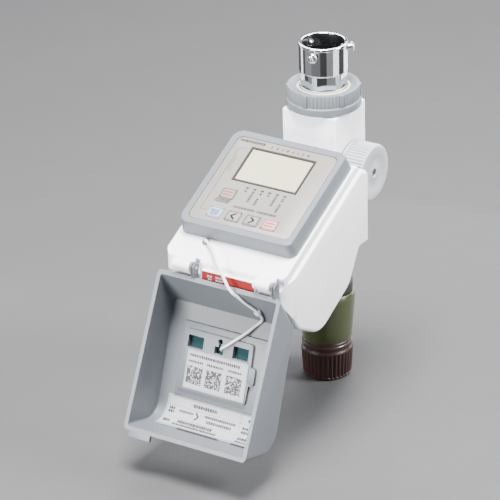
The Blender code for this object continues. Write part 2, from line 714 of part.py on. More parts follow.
def head_shells(panel):
    upper = combine(casing(panel), tool(seam_half(True)), "INTERSECT")
    upper.name = "head_upper_shell"
    window = prism([(-31.0, -64.5), (31.0, -64.5), (31.0, -4.5), (-31.0, -4.5)], -20, -5)
    gland = disc(1.9, -20, -5, segments=20, centre=(-18.0, -72.3))
    cut(upper, tool(window, panel), tool(gland, panel), tool(gear_slot()))
    lower = combine(casing(panel), tool(seam_half(False)), "INTERSECT")
    lower.name = "head_lower_shell"
    cut(lower, tool(gear_slot()))
    for z, shell in zip(COLUMN_SCREW_Z, (upper, lower)):
        cut(shell, tool(disc(1.5, -21, -16, "Y", 16, (z, 0))))
    for x in CASE_SCREWS.values():
        for radius, low, high in ((1.5, -140, -126), (2.6, -140, -134.9)):
            cut(lower, tool(disc(radius, low, high, segments=16, centre=(x, -70.5))))


def head_screws():
    for z, name in zip(COLUMN_SCREW_Z, ("column_screw_upper", "column_screw_lower")):
        profile = [(0, -22.0), (2.1, -22.0), (2.1, -20.4), (1.2, -20.4), (1.2, -13.4), (0, -13.4)]
        make(name, turned(profile, 12, "Y"), STEEL, at=(0, 0, z))
    for name, x in CASE_SCREWS.items():
        profile = [(0, -136.2), (2.2, -136.2), (2.2, -135.2), (1.2, -135.2), (1.2, -119.0),
                   (0, -119.0)]
        make(name, turned(profile, 12), STEEL, at=(x, -70.5, 0))


def bezel(panel):
    """Grey frame with flared walls that holds the faceplate."""
    outer = box_outline(-BEZEL_HALF, BEZEL_HALF, -BEZEL_LENGTH, -0.2, 4.0)
    bm = prism(outer, DECK_H + GAP, 0.0, rim=0.0)
    centre_s = -BEZEL_LENGTH / 2
    for v in bm.verts:
        if v.co.z < DECK_H + 1:
            v.co.x *= 1 + 0.9 / BEZEL_HALF
            v.co.y = centre_s + (v.co.y - centre_s) * (1 + 0.9 / (BEZEL_LENGTH / 2))
    rim = [e for e in bm.edges if min(v.co.z for v in e.verts) > -0.01]
    bmesh.ops.bevel(bm, geom=rim, offset=1.2, segments=2, profile=0.5, affect="EDGES")
    frame = make("bezel", bm, GREY, panel)
    inside = prism(box_outline(-32.9, 32.9, -66.5, -2.5, 2.0, 2), DECK_H - 1, -2.6)
    recess = prism(box_outline(-31.6, 32.0, -65.4, -4.1, 3.5), -1.3, 1)
    opening = prism([(-29.5, -63.0), (29.5, -63.0), (29.5, -6.5), (-29.5, -6.5)], -5, 1)
    cut(frame, tool(inside, panel), tool(recess, panel), tool(opening, panel))


def faceplate(panel):
    plate = make("faceplate", prism(box_outline(-31.3, 31.7, -65.1, -4.4, 3.3), -1.0, -0.2),
                 CREAM, panel)
    window = prism([(LCD_X[0], -LCD_S[1]), (LCD_X[1], -LCD_S[1]), (LCD_X[1], -LCD_S[0]),
                    (LCD_X[0], -LCD_S[0])], -2, 1)
    cut(plate, tool(window, panel))
    half_x, half_s = BUTTON_SIZE[0] / 2 + 0.1, BUTTON_SIZE[1] / 2 + 0.1
    for x, s in BUTTONS.values():
        hole = prism(box_outline(x - half_x, x + half_x, -s - half_s, -s + half_s, 1.2, 2), -2, 1)
        cut(plate, tool(hole, panel))


def display(panel):
    """Dark border, and the liquid-crystal panel whose window stands up inside it."""
    low_x, high_x = LCD_X[0] + GAP, LCD_X[1] - GAP
    low_s, high_s = LCD_S[0] + GAP, LCD_S[1] - GAP
    border = on_panel("lcd_frame", low_x, high_x, low_s, high_s, -1.6, 0.0, DARK, panel)
    opening = prism([(low_x + 1.0, -high_s + 1.0), (high_x - 1.0, -high_s + 1.0),
                     (high_x - 1.0, -low_s - 1.0), (low_x + 1.0, -low_s - 1.0)], -3, 2)
    cut(border, tool(opening, panel))
    crystal = on_panel("lcd_panel", -22.0, 22.5, 8.0, 36.2, -4.6, -1.9, LCD, panel)
    join(crystal, on_panel("tool", low_x + 1.3, high_x - 1.3, low_s + 1.3, high_s - 1.3,
                           -2.2, -0.4, LCD, panel))
    on_panel("circuit_board", -28.5, 28.5, 7.5, 62.0, -7.0, -5.4, BOARD, panel)


def buttons(panel):
    for name, (x, s) in BUTTONS.items():
        half_x, half_s = BUTTON_SIZE[0] / 2 - 0.2, BUTTON_SIZE[1] / 2 - 0.2
        outline = box_outline(x - half_x, x + half_x, -s - half_s, -s + half_s, 1.0, 2)
        make(name, prism(outline, -4.4, 0.15, rim=0.25, steps=1), CREAM, panel)


def power():
    """Two rechargeable cells in a holder in the head's nose."""
    tray = make("battery_holder", block(-34, 34, -87.5, -53.5, -124.8, -114.5), DARK)
    for y in CELLS.values():
        cut(tray, tool(disc(7.5, -26, 26, "X", 20, (y, CELL_Z))))
    for x in CASE_SCREWS.values():
        cut(tray, tool(disc(1.5, -130, -118.5, segments=16, centre=(x, -70.5))))
    for name, y in CELLS.items():
        profile = [(0, -25.2), (7.1, -25.2), (7.1, 24.0), (2.6, 24.0), (2.6, 25.2), (0, 25.2)]
        make(name, turned(profile, 20, "X"), BATTERY, at=(0, y, CELL_Z))


def cable_gland(panel):
    profile = [(1.1, -11.9), (1.6, -11.9), (1.6, -9.3), (2.2, -9.3), (1.9, -8.5), (1.1, -8.3)]
    shape = turned(profile, 12)
    bmesh.ops.translate(shape, vec=(-18.0, -72.3, 0), verts=shape.verts)
    make("cable_gland", shape, GREY, panel)


def caution_label():
    make("caution_label", block(-12.1, 20.6, -110.05, -109.8, -101.6, -95.6), RED)


# ------------------------------------------------------------------ lid

def tray(corners, half, edge_radius):
    """The lid's body, solid and still carried on above its rim."""
    return soft_prism(corners, half, edge_radius, arc_steps=LID_STEPS)


def arm_outline():
    """Side outline of a hinge arm: a ring about the pin and a foot on the tray's rim."""
    ring = [(BARREL_R * math.cos(math.radians(a)), BARREL_R * math.sin(math.radians(a)))
            for a in range(90, 271, 18)]
    return ring + [(4.0, -0.6), (5.6, 1.0), (8.6, 6.4), (6.9, 6.0)]


def lid_arm(low, high, lid):
    """One hinge arm, slotted down its middle, with the pin's hole."""
    middle = (low + high) / 2
    arm = tool(prism(arm_outline(), low, high, "X"), lid)
    return cut(
        arm,
        tool(disc(PIN_R + GAP, low - 1, high + 1, "X", 12), lid),
        tool(block(middle - 0.25, middle + 0.25, -4, 4.2, -4, 4), lid),
    )


def lid_shell(lid):
    shell = make("lid_shell", tray(LID_CORNERS, LID_HALF, 2.4), GREY, lid)
    bpy.context.view_layer.update()
    hollow = tray(inset(LID_CORNERS, LID_WALL), LID_HALF - LID_WALL, 1.2)
    cut(shell, tool(hollow, lid), tool(block(-60, 60, -20, 120, -30, LID_RIM_T), lid))
    join(shell, tool(floor_slab(-27.0, 27.0, 9.8, 51.0, -0.6, 1.5), lid))
    cut(shell, tool(floor_slab(-25.6, 25.6, 11.5, 50.0, -4.5, 0.2), lid))
    cut_windows(shell, lid)
    tab = block(-34.9, -21.3, LID_FAR_S - 1.2, LID_FAR_S + 3.6, LID_RIM_T + 0.1, LID_RIM_T + 2.1)
    join(shell, tool(tab, lid))
    for low, high in ARMS.values():
        join(shell, lid_arm(low, high, lid))


def cut_windows(target, lid):
    """Two square windows and the keyhole, cut through the plates of the lid's floor."""
    turn = math.radians(57.8)
    steps = 12
    keyhole = [(-2.9, 19.4), (-5.2, 19.4), (-5.2, 23.4), (0.3, 23.4), (0.3, 19.4), (-1.3, 19.4)]
    for k in range(steps + 1):
        angle = turn - (math.pi + 2 * turn) * k / steps
        keyhole.append((-2.1 + 1.5 * math.cos(angle), 16.4 + 1.5 * math.sin(angle)))
    for outline in (keyhole, box_outline(-22.3, -12.4, 16.6, 23.5), box_outline(6.3, 16.2, 16.6, 23.5)):
        cut(target, tool(floor_plate(outline, -1.0, 6.0), lid))


def solar_unit(lid):
    """Cell and board in the lid's outer recess, and the plate that holds them inside."""
    make("solar_window", floor_slab(-25.2, 25.2, 11.9, 49.6, -2.1, -1.2), CELL, lid)
    make("solar_board", floor_slab(-24.8, 24.8, 12.2, 49.3, -0.9, -0.1), BOARD, lid)
    outline = fillet([
        (-24.6, 13.5, 1.5), (18.4, 13.5, 1.5), (18.4, 26.2, 0), (21.7, 26.2, 1.5),
        (21.7, 36.0, 1.5), (18.4, 36.0, 0), (18.4, 47.0, 1.5), (-24.6, 47.0, 1.5),
    ], 3)
    cut_windows(make("solar_backplate", floor_plate(outline, 1.8, 3.2), GREY, lid), lid)


def lid_labels(lid):
    """One flat label on the back plate, one that follows the floor round the far corner."""
    make("lid_label_upper", floor_slab(-21.1, 17.6, 24.4, 45.9, 3.4, 3.65), PAPER, lid)
    faces = []
    for height in (0.2, 0.45):
        corner = fillet(inset(LID_CORNERS, LID_WALL + height), LID_STEPS)
        faces.append([lid_point(52.0, height)] + corner[LID_STEPS + 2:2 * LID_STEPS + 3])
    make("lid_label_lower", prism(faces[0] + faces[1][::-1], -30.6, 31.0, "X"), PAPER, lid)


def hinge_pins():
    for side in ("left", "right"):
        low, high = BARRELS[side][0] - 0.2, ARMS[side][1] + 0.2
        make("hinge_pin_" + side, disc(PIN_R, low, high, "X", 12, (HINGE_Y, HINGE_Z)), STEEL)


def cable_clip(lid):
    """A small arch on the tray's hinge wall that holds the cable's bend."""
    shape = turned([(1.15, -0.9), (1.9, -0.9), (1.9, 0.9), (1.15, 0.9)], 16)
    turn = Vector(CLIP_ALONG).to_track_quat("Z", "Y").to_matrix()
    bmesh.ops.rotate(shape, cent=(0, 0, 0), matrix=turn, verts=shape.verts)
    bmesh.ops.translate(shape, vec=CLIP_AT, verts=shape.verts)
    clip = make("cable_clip", shape, LEAD)
    wall = inset(LID_CORNERS, LID_WALL + 0.3)
    behind = [wall[0][:2], wall[1][:2], (-5.0, wall[1][1]), (-5.0, wall[0][1])]
    cut(clip, tool(prism(behind, 10, 30, "X"), lid))


def lid_cable():
    """The lead from the gland over the lid's rim, through the clip, into the keyhole."""
    data = bpy.data.curves.new("lid_cable", "CURVE")
    data.dimensions = "3D"
    data.bevel_depth = CABLE_R * MM
    data.bevel_resolution = 2
    data.use_fill_caps = True
    points = smooth_route(CABLE_ROUTE, 2)
    spline = data.splines.new("POLY")
    spline.points.add(len(points) - 1)
    for target, p in zip(spline.points, points):
        target.co = (*(p * MM), 1.0)
    data.materials.append(paint(LEAD))
    cable = bpy.data.objects.new("lid_cable", data)
    bpy.context.scene.collection.objects.link(cable)


def smooth_route(route, steps):
    """Points on a smooth curve (Catmull-Rom) through the route's own points."""
    knots = [Vector(p) for p in route]
    knots = [2 * knots[0] - knots[1]] + knots + [2 * knots[-1] - knots[-2]]
    points = []
    for a, b, c, d in zip(knots, knots[1:], knots[2:], knots[3:]):
        for k in range(steps):
            u = k / steps
            points.append(0.5 * (2 * b + (c - a) * u + (2 * a - 5 * b + 4 * c - d) * u * u
                                 + (3 * b - a - 3 * c + d) * u ** 3))
    return points + [knots[-2]]


def build():
    clear_scene()
    panel = frame_empty("panel_frame", 0, PANEL_Y, PANEL_Z, PANEL_TILT)
    lid = frame_empty("lid_frame", 0, HINGE_Y, HINGE_Z, LID_ANGLE)
    faucet_collar()
    clamp_screws()
    inlet_rings()
    union_nut()
    inlet_strainer()
    valve_column()
    column_base()
    inlet_pipe()
    outlet_pipe()
    ball_valve()
    final_drive()
    manual_knob()
    outlet_adapter()
    hose_coupler()
    hose_nut()
    head_shells(panel)
    head_screws()
    bezel(panel)
    faceplate(panel)
    display(panel)
    buttons(panel)
    power()
    cable_gland(panel)
    caution_label()
    lid_shell(lid)
    solar_unit(lid)
    lid_labels(lid)
    hinge_pins()
    cable_clip(lid)
    lid_cable()


build()
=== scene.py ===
"""Looks of the tap-mounted irrigation controller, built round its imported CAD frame.

Sizes are in millimetres, in the frame of the CAD; solid() turns them into metres.
"""
import json
import math
import random

import bmesh
import bpy
from mathutils import Matrix, Vector

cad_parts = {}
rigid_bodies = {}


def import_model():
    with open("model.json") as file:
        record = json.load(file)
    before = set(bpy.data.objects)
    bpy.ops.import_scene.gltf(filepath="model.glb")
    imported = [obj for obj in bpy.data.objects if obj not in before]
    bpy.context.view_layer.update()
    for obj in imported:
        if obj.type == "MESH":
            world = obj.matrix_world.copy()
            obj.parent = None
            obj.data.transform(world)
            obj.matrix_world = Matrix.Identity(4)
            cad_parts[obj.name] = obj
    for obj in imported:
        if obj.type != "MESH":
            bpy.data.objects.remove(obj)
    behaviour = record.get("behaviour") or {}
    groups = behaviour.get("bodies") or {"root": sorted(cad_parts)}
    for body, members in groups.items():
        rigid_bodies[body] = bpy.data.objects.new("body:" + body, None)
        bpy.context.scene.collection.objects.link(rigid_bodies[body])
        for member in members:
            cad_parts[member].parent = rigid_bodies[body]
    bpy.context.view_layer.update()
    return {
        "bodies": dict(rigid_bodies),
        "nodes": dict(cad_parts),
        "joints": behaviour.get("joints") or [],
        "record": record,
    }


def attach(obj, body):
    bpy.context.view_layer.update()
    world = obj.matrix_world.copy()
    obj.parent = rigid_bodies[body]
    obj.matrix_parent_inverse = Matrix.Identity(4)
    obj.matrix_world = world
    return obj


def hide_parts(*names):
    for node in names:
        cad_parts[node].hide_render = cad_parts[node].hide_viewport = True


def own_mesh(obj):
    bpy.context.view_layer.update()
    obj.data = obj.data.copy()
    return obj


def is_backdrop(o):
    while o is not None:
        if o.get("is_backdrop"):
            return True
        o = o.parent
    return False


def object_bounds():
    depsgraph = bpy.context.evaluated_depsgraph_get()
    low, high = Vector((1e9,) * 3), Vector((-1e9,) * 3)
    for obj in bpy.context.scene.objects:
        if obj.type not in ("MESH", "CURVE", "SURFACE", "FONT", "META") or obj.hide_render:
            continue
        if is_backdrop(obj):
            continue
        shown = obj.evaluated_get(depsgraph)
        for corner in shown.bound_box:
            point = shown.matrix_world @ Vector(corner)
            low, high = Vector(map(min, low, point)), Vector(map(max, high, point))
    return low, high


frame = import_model()

MM = 0.001
GAP = 0.3  # running clearance between parts

VIEW_PLACE, VIEW_LENS = (0.78482, -1.32125, 0.62689), 217.70  # metres, lens in millimetres
VIEW_AZIMUTH, VIEW_ELEVATION, VIEW_ROLL = 32.3092, 26.1227, -1.4819  # degrees
STAGE_MIDDLE = (0.0, -0.06, -0.1)
FLOOR_REACH = 4.0

COLLAR_BORE_R, COLLAR_STEP_R, COLLAR_STEP_Z = 11.8, 11.5, -7.4
COLLAR_FLAT_R, COLLAR_FLATS_Z = 12.05, (-24.8, -17.0)
CLAMP_Z = -4.5
CLAMP_ANGLES = {"front": 8, "right": 128, "left": 248}
COLUMN_HALF = 17.0
COLUMN_WALL = 2.2
COLUMN_TOP_Z, COLUMN_BOTTOM_Z = -37.6, -121.6
COLUMN_SCREW_Z = (-68.6, -96.0)
SCREW_HOLE_R = 1.5
VALVE_Z = -72.7
DRIVE_Z = -77.06
GEAR_X = (12.4, 14.2)
STEM_R = 2.6

HEAD_HALF, DECK_HALF = 39.3, 37.6
HEAD_BACK_Y, HEAD_FRONT_Y = -17.3, -107.8
HEAD_CAVITY_HALF = 36.6
SHELL_WALL = 2.4
SIDE_FRONT_Y, FRONT_HALF = -95.0, 33.0
SEAM_Y, SEAM_Z, SEAM_SLOPE = -23.8, -78.1, 0.29
CASE_SCREW_X, CASE_SCREW_Y = 30.5, -70.5

PANEL_TILT = math.radians(25.1)
PANEL_Y, PANEL_Z = -34.43, -46.69
BEZEL_HALF, BEZEL_LENGTH = 35.2, 68.8
DECK_H, LEDGE_H = -9.6, -14.0
LCD_X, LCD_S = (-20.25, 20.84), (9.55, 34.69)
GLAND_AT = (-18.0, -72.3)
PRINT_LOW, PRINT_HIGH = -0.22, -0.17
KEY_TOP = 0.15
BUTTON_SIZE = (9.0, 7.4)
BUTTONS = {
    "button_mode": (-16.6, 44.3), "button_back": (-17.2, 58.2), "button_left": (-5.8, 58.2),
    "button_right": (5.7, 58.2), "button_set": (17.1, 58.2),
}

HINGE_Y, HINGE_Z = -111.04, -94.26
LID_ANGLE = math.radians(-116.74)
LID_HALF, LID_WALL, LID_RIM_T, LID_FAR_S = 38.72, 2.2, 1.45, 94.12
LID_ABOVE_RIM = -6.0
LID_CORNERS = [
    (0.53, LID_ABOVE_RIM, 0), (18.99, 24.15, 3.0), (88.39, 32.85, 14.0),
    (95.48, LID_ABOVE_RIM, 0),
]
FLOOR_ANGLE = math.atan2(32.85 - 24.15, 88.39 - 18.99)
BARREL_R, PIN_R, POCKET_R = 2.85, 1.0, 5.9
BARRELS = {"left": (-29.0, -18.1), "right": (22.0, 32.0)}
ARMS = {"left": (-17.4, -15.0), "right": (33.3, 35.7)}
WINDOW_ALONG = (16.6, 23.5)
PAPER_TOP = 3.65
CABLE_R = 0.8
CABLE_ROUTE = [
    (-18.0, -95.2, -87.4), (-18.0, -96.1, -85.5), (-17.5, -97.1, -84.3), (-15.4, -98.7, -84.0),
    (-11.1, -101.9, -84.5), (-6.6, -106.4, -85.4), (-3.2, -109.6, -86.7), (-0.3, -112.0, -88.9),
    (3.3, -114.0, -92.1), (5.75, -115.0, -95.3), (8.2, -115.6, -98.7), (10.6, -115.3, -101.4),
    (12.2, -113.6, -103.7), (13.7, -112.1, -105.9), (15.4, -111.0, -107.8), (18.5, -109.0, -110.9),
    (21.0, -107.3, -113.7), (22.0, -105.2, -117.0), (21.2, -103.2, -120.0), (19.4, -102.1, -122.3),
    (17.5, -102.8, -124.2), (15.9, -104.3, -125.7), (12.2, -106.7, -129.3), (7.6, -108.8, -133.1),
    (3.7, -110.2, -136.4), (1.5, -111.0, -138.0), (-0.3, -110.9, -139.4), (-1.1, -109.9, -140.7),
    (-1.3, -108.6, -141.7),
]
LEAVE, CREST, ENTER = 4, 8, 13
CLIP_AT, CLIP_ALONG = (21.0, -107.3, -113.7), (0.42, 0.45, -0.79)


def placed(x, y, z, tilt):
    return Matrix.Translation(Vector((x, y, z))) @ Matrix.Rotation(tilt, 4, "X")


PANEL = placed(0, PANEL_Y, PANEL_Z, PANEL_TILT)
LID = placed(0, HINGE_Y, HINGE_Z, LID_ANGLE)
VALVE = placed(0, 0, VALVE_Z, 0)


# ------------------------------------------------------------------ camera, light, floor

def camera():
    data = bpy.data.cameras.new("camera")
    data.lens, data.sensor_width = VIEW_LENS, 36.0
    data.clip_start, data.clip_end = 0.05, 20.0
    obj = bpy.data.objects.new("camera", data)
    bpy.context.scene.collection.objects.link(obj)
    obj.matrix_world = (
        Matrix.Translation(Vector(VIEW_PLACE))
        @ Matrix.Rotation(math.radians(VIEW_AZIMUTH), 4, "Z")
        @ Matrix.Rotation(math.radians(90 - VIEW_ELEVATION), 4, "X")
        @ Matrix.Rotation(math.radians(VIEW_ROLL), 4, "Z"))
    bpy.context.scene.camera = obj


def softbox(name, place, size, power):
    """A rectangular light, aimed at the middle of the object."""
    data = bpy.data.lights.new(name, "AREA")
    data.shape = "RECTANGLE"
    data.size, data.size_y = size
    data.energy = power
    obj = bpy.data.objects.new(name, data)
    bpy.context.scene.collection.objects.link(obj)
    obj.location = place
    obj.rotation_euler = (Vector(STAGE_MIDDLE) - Vector(place)).to_track_quat("-Z", "Y").to_euler()


def cards():
    """Standing cards that only glossy reflections see: the bands that polished metal shows.

    Each runs from one angle to the next, counted from the camera's side, on a ring.
    """
    spans = [(-16, 14, 0.02), (14, 46, 0.3), (46, 76, 2.4), (76, 112, 0.02), (112, 175, 3.5),
             (-175, -128, 0.03), (-128, -112, 2.6), (-112, -96, 0.02), (-96, -60, 0.28),
             (-60, -16, 0.16)]
    radius, low, high, start = 0.24, -0.2, 0.01, -57.7
    bm = bmesh.new()
    mesh = bpy.data.meshes.new("cards")
    for index, (first, last, glow) in enumerate(spans):
        paper = bpy.data.materials.new(f"card_{index}")
        paper.use_nodes = True
        shader = paper.node_tree.nodes["Principled BSDF"]
        shader.inputs["Base Color"].default_value = (0.01, 0.01, 0.01, 1)
        shader.inputs["Emission Color"].default_value = (0.95, 0.97, 1.0, 1)
        shader.inputs["Emission Strength"].default_value = glow
        mesh.materials.append(paper)
        steps = max(1, (last - first) // 8)
        turns = [math.radians(start + first + (last - first) * k / steps) for k in range(steps + 1)]
        for a, b in zip(turns, turns[1:]):
            corners = [(a, low), (b, low), (b, high), (a, high)]
            bm.faces.new([bm.verts.new((radius * math.cos(t), radius * math.sin(t), z))
                          for t, z in corners]).material_index = index
    bm.to_mesh(mesh)
    bm.free()
    ring = bpy.data.objects.new("cards", mesh)
    bpy.context.scene.collection.objects.link(ring)
    ring.visible_camera = ring.visible_diffuse = ring.visible_shadow = False
    ring.visible_transmission = False
    ring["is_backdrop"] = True


def studio():
    world = bpy.data.worlds.new("studio")
    bpy.context.scene.world = world
    world.use_nodes = True
    sky = world.node_tree.nodes["Background"]
    sky.inputs["Color"].default_value = (0.80, 0.84, 0.92, 1)
    sky.inputs["Strength"].default_value = 0.3
    softbox("key", (0.10, -0.28, 1.05), (0.5, 0.45), 84)
    softbox("side", (0.95, 0.35, 0.55), (0.4, 0.6), 38)
    softbox("back", (-0.30, 0.80, 0.60), (0.9, 0.4), 18)
    softbox("front", (-0.30, -1.05, 0.10), (0.5, 0.4), 26)
    cards()
    bm = bmesh.new()
    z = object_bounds()[0].z  # the object stands on the floor
    bm.faces.new([bm.verts.new((x * FLOOR_REACH, y * FLOOR_REACH, z))
                  for x, y in ((-1, -1), (1, -1), (1, 1), (-1, 1))])
    mesh = bpy.data.meshes.new("floor")
    bm.to_mesh(mesh)
    bm.free()
    floor = bpy.data.objects.new("floor", mesh)
    bpy.context.scene.collection.objects.link(floor)
    mesh.materials.append(surface("floor_paper", (0.062, 0.062, 0.064), 0.8, grain=0.05, scale=900))
    floor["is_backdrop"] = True


# ------------------------------------------------------------------ materials

def surface(name, colour, rough, metallic=0.0, grain=0.1, scale=2600, tone=0.05, coat=0.0,
            spread=0.12, subsurface=0.0, flow=None):
    """A procedural finish: slow shifts of tone, a fine moulded grain, and uneven roughness."""
    made = bpy.data.materials.new(name)
    made.use_nodes = True
    tree = made.node_tree
    shader = tree.nodes["Principled BSDF"]
    shader.inputs["Metallic"].default_value = metallic
    shader.inputs["IOR"].default_value = 1.46
    shader.inputs["Coat Weight"].default_value = coat
    shader.inputs["Coat Roughness"].default_value = 0.08
    shader.inputs["Subsurface Weight"].default_value = subsurface
    shader.inputs["Subsurface Radius"].default_value = (1.0, 1.0, 1.0)
    shader.inputs["Subsurface Scale"].default_value = 0.0012
    link = tree.links.new
    place = tree.nodes.new("ShaderNodeTexCoord").outputs["Object"]
    if flow:  # stretches the pattern along one way, as brushing or drawing does
        mapping = tree.nodes.new("ShaderNodeMapping")
        mapping.inputs["Scale"].default_value = flow
        link(place, mapping.inputs["Vector"])
        place = mapping.outputs["Vector"]

    def noise(size, detail):
        node = tree.nodes.new("ShaderNodeTexNoise")
        node.inputs["Scale"].default_value = size
        node.inputs["Detail"].default_value = detail
        link(place, node.inputs["Vector"])
        return node.outputs["Fac"]

    broad, fine = noise(45, 3), noise(scale, 2)
    mix = tree.nodes.new("ShaderNodeMix")
    mix.data_type = "RGBA"
    mix.inputs["A"].default_value = (*[c * (1 - tone) for c in colour], 1)
    mix.inputs["B"].default_value = (*[min(c * (1 + tone), 1) for c in colour], 1)
    link(broad, mix.inputs["Factor"])
    link(mix.outputs["Result"], shader.inputs["Base Color"])
    uneven = tree.nodes.new("ShaderNodeMapRange")
    uneven.inputs["To Min"].default_value = rough * (1 - spread)
    uneven.inputs["To Max"].default_value = rough * (1 + spread)
    link(fine, uneven.inputs["Value"])
    link(uneven.outputs["Result"], shader.inputs["Roughness"])
    bump = tree.nodes.new("ShaderNodeBump")
    bump.inputs["Strength"].default_value = grain
    bump.inputs["Distance"].default_value = 0.0002
    link(fine, bump.inputs["Height"])
    link(bump.outputs["Normal"], shader.inputs["Normal"])
    return made


def finishes():
    return {
        "casing_white": surface("casing_white", (0.82, 0.82, 0.85), 0.36, subsurface=0.08),
        "knob_grey": surface("knob_grey", (0.36, 0.37, 0.40), 0.42, grain=0.16),
        # near-black metal for the bore's lining: painted shade inside the collar's hole
        "bore_painted_shade": surface("bore_painted_shade", (0.045, 0.045, 0.05), 0.45, 1.0, grain=0.05),
        "trim_grey": surface("trim_grey", (0.118, 0.128, 0.142), 0.42, grain=0.16),
        "overlay_cream": surface("overlay_cream", (0.180, 0.172, 0.154), 0.45, grain=0.08,
                                 scale=4200),
        "chrome": surface("chrome", (0.80, 0.81, 0.84), 0.07, 1.0, grain=0.02, scale=700, tone=0.02,
                          spread=0.4),
        "rubber_black": surface("rubber_black", (0.018, 0.018, 0.018), 0.6, grain=0.25),
        "packing_cream": surface("packing_cream", (0.50, 0.48, 0.38), 0.5, subsurface=0.15),
        "coupler_green": surface("coupler_green", (0.036, 0.046, 0.006), 0.36, grain=0.3, scale=420,
                                 tone=0.3, coat=0.8, subsurface=0.25, flow=(1, 1, 0.2)),
        "nut_brown": surface("nut_brown", (0.026, 0.008, 0.0065), 0.33, grain=0.12, coat=0.3),
        "steel": surface("steel", (0.62, 0.63, 0.65), 0.24, 1.0, grain=0.06, flow=(1, 1, 0.1)),
        "board_green": surface("board_green", (0.0005, 0.030, 0.036), 0.85, grain=0.15, tone=0.2),
        "frame_dark": surface("frame_dark", (0.014, 0.009, 0.007), 0.6, grain=0.1),
        "lcd_face": surface("lcd_face", (0.42, 0.395, 0.28), 0.3, grain=0.03, scale=5200, tone=0.04,
                            coat=1.0),
        "solar_cell": surface("solar_cell", (0.008, 0.014, 0.04), 0.12, grain=0.03, scale=260,
                              tone=0.5, coat=1.0),
        "label_red": surface("label_red", (0.20, 0.003, 0.002), 0.6, grain=0.06),
        "label_white": surface("label_white", (0.34, 0.34, 0.36), 0.5, grain=0.08, scale=3800),
        "lead_white": surface("lead_white", (0.66, 0.66, 0.66), 0.38, grain=0.12, scale=1800),
        "battery_sleeve": surface("battery_sleeve", (0.10, 0.14, 0.22), 0.35, tone=0.2),
        "ink_dark": surface("ink_dark", (0.025, 0.025, 0.028), 0.5, grain=0.1, tone=0.3),
        "ink_pale": surface("ink_pale", (0.022, 0.021, 0.024), 0.5, grain=0.1, tone=0.2),
        "ink_blue": surface("ink_blue", (0.02, 0.045, 0.12), 0.5, grain=0.1, tone=0.2),
        "ink_red": surface("ink_red", (0.20, 0.03, 0.034), 0.5, grain=0.1, tone=0.2),
        "key_blue": surface("key_blue", (0.30, 0.36, 0.43), 0.42, grain=0.08, scale=4200),
        "key_pink": surface("key_pink", (0.46, 0.23, 0.235), 0.42, grain=0.08, scale=4200),
        "cell_silver": surface("cell_silver", (0.6, 0.62, 0.65), 0.3, 1.0, grain=0.05),
    }


# ------------------------------------------------------------------ shapes

def turned(profile, segments=96, axis="Z", ribs=0, depth=0.0):
    """A closed outline of (radius, height, ribbed) points turned about an axis.

    With ribs, the ribbed points stand in by depth between the ribs.
    """
    bm = bmesh.new()
    count = ribs * 6 if ribs else segments
    sink = (0.0, 0.0, 0.3, 1.0, 1.0, 0.3)
    rings = []
    for point in profile:
        radius, height = point[0], point[1]
        if radius == 0:
            rings.append([bm.verts.new((0, 0, height))])
            continue
        ring = []
        for i in range(count):
            angle = 2 * math.pi * i / count
            r = radius - (depth * sink[i % 6] if len(point) > 2 and point[2] else 0.0)
            ring.append(bm.verts.new((r * math.cos(angle), r * math.sin(angle), height)))
        rings.append(ring)
    for a, b in zip(rings, rings[1:] + rings[:1]):
        if len(a) == 1 and len(b) == 1:
            continue
        for i in range(count):
            j = (i + 1) % count
            corners = [a[i % len(a)], a[j % len(a)], b[j % len(b)], b[i % len(b)]]
            bm.faces.new(list(dict.fromkeys(corners)))
    return aim(bm, axis)


def aim(bm, axis):
    """Turns a shape made along Z so that it lies along the given axis."""
    for v in bm.verts:
        if axis == "X":
            v.co = Vector((v.co.z, v.co.x, v.co.y))
        elif axis == "Y":
            v.co = Vector((v.co.y, v.co.z, v.co.x))
    return bm


def prism(outline, low, high, axis="Z", rim=0.0, steps=3):
    """An outline extruded from low to high. Along X it is (y, z), along Y (z, x), along Z (x, y)."""
    bm = bmesh.new()
    bottom = [bm.verts.new((x, y, low)) for x, y in outline]
    top = [bm.verts.new((x, y, high)) for x, y in outline]
    bm.faces.new(bottom[::-1])
    bm.faces.new(top)
    for i in range(len(outline)):
        j = (i + 1) % len(outline)
        bm.faces.new((bottom[i], bottom[j], top[j], top[i]))
    if rim:
        edges = [e for e in bm.edges if abs(e.verts[0].co.z - e.verts[1].co.z) < 1e-6]
        bmesh.ops.bevel(bm, geom=edges, offset=rim, segments=steps, profile=0.5, affect="EDGES")
    return aim(bm, axis)


def disc(radius, low, high, axis="Z", segments=48, centre=(0, 0)):
    turn = [2 * math.pi * i / segments for i in range(segments)]
    outline = [(centre[0] + radius * math.cos(a), centre[1] + radius * math.sin(a)) for a in turn]
    return prism(outline, low, high, axis)


def block(x0, x1, y0, y1, z0, z1, rim=0.0):
    bm = prism([(x0, y0), (x1, y0), (x1, y1), (x0, y1)], z0, z1)
    if rim:
        bmesh.ops.bevel(bm, geom=bm.edges[:], offset=rim, segments=3, profile=0.5, affect="EDGES")
    return bm


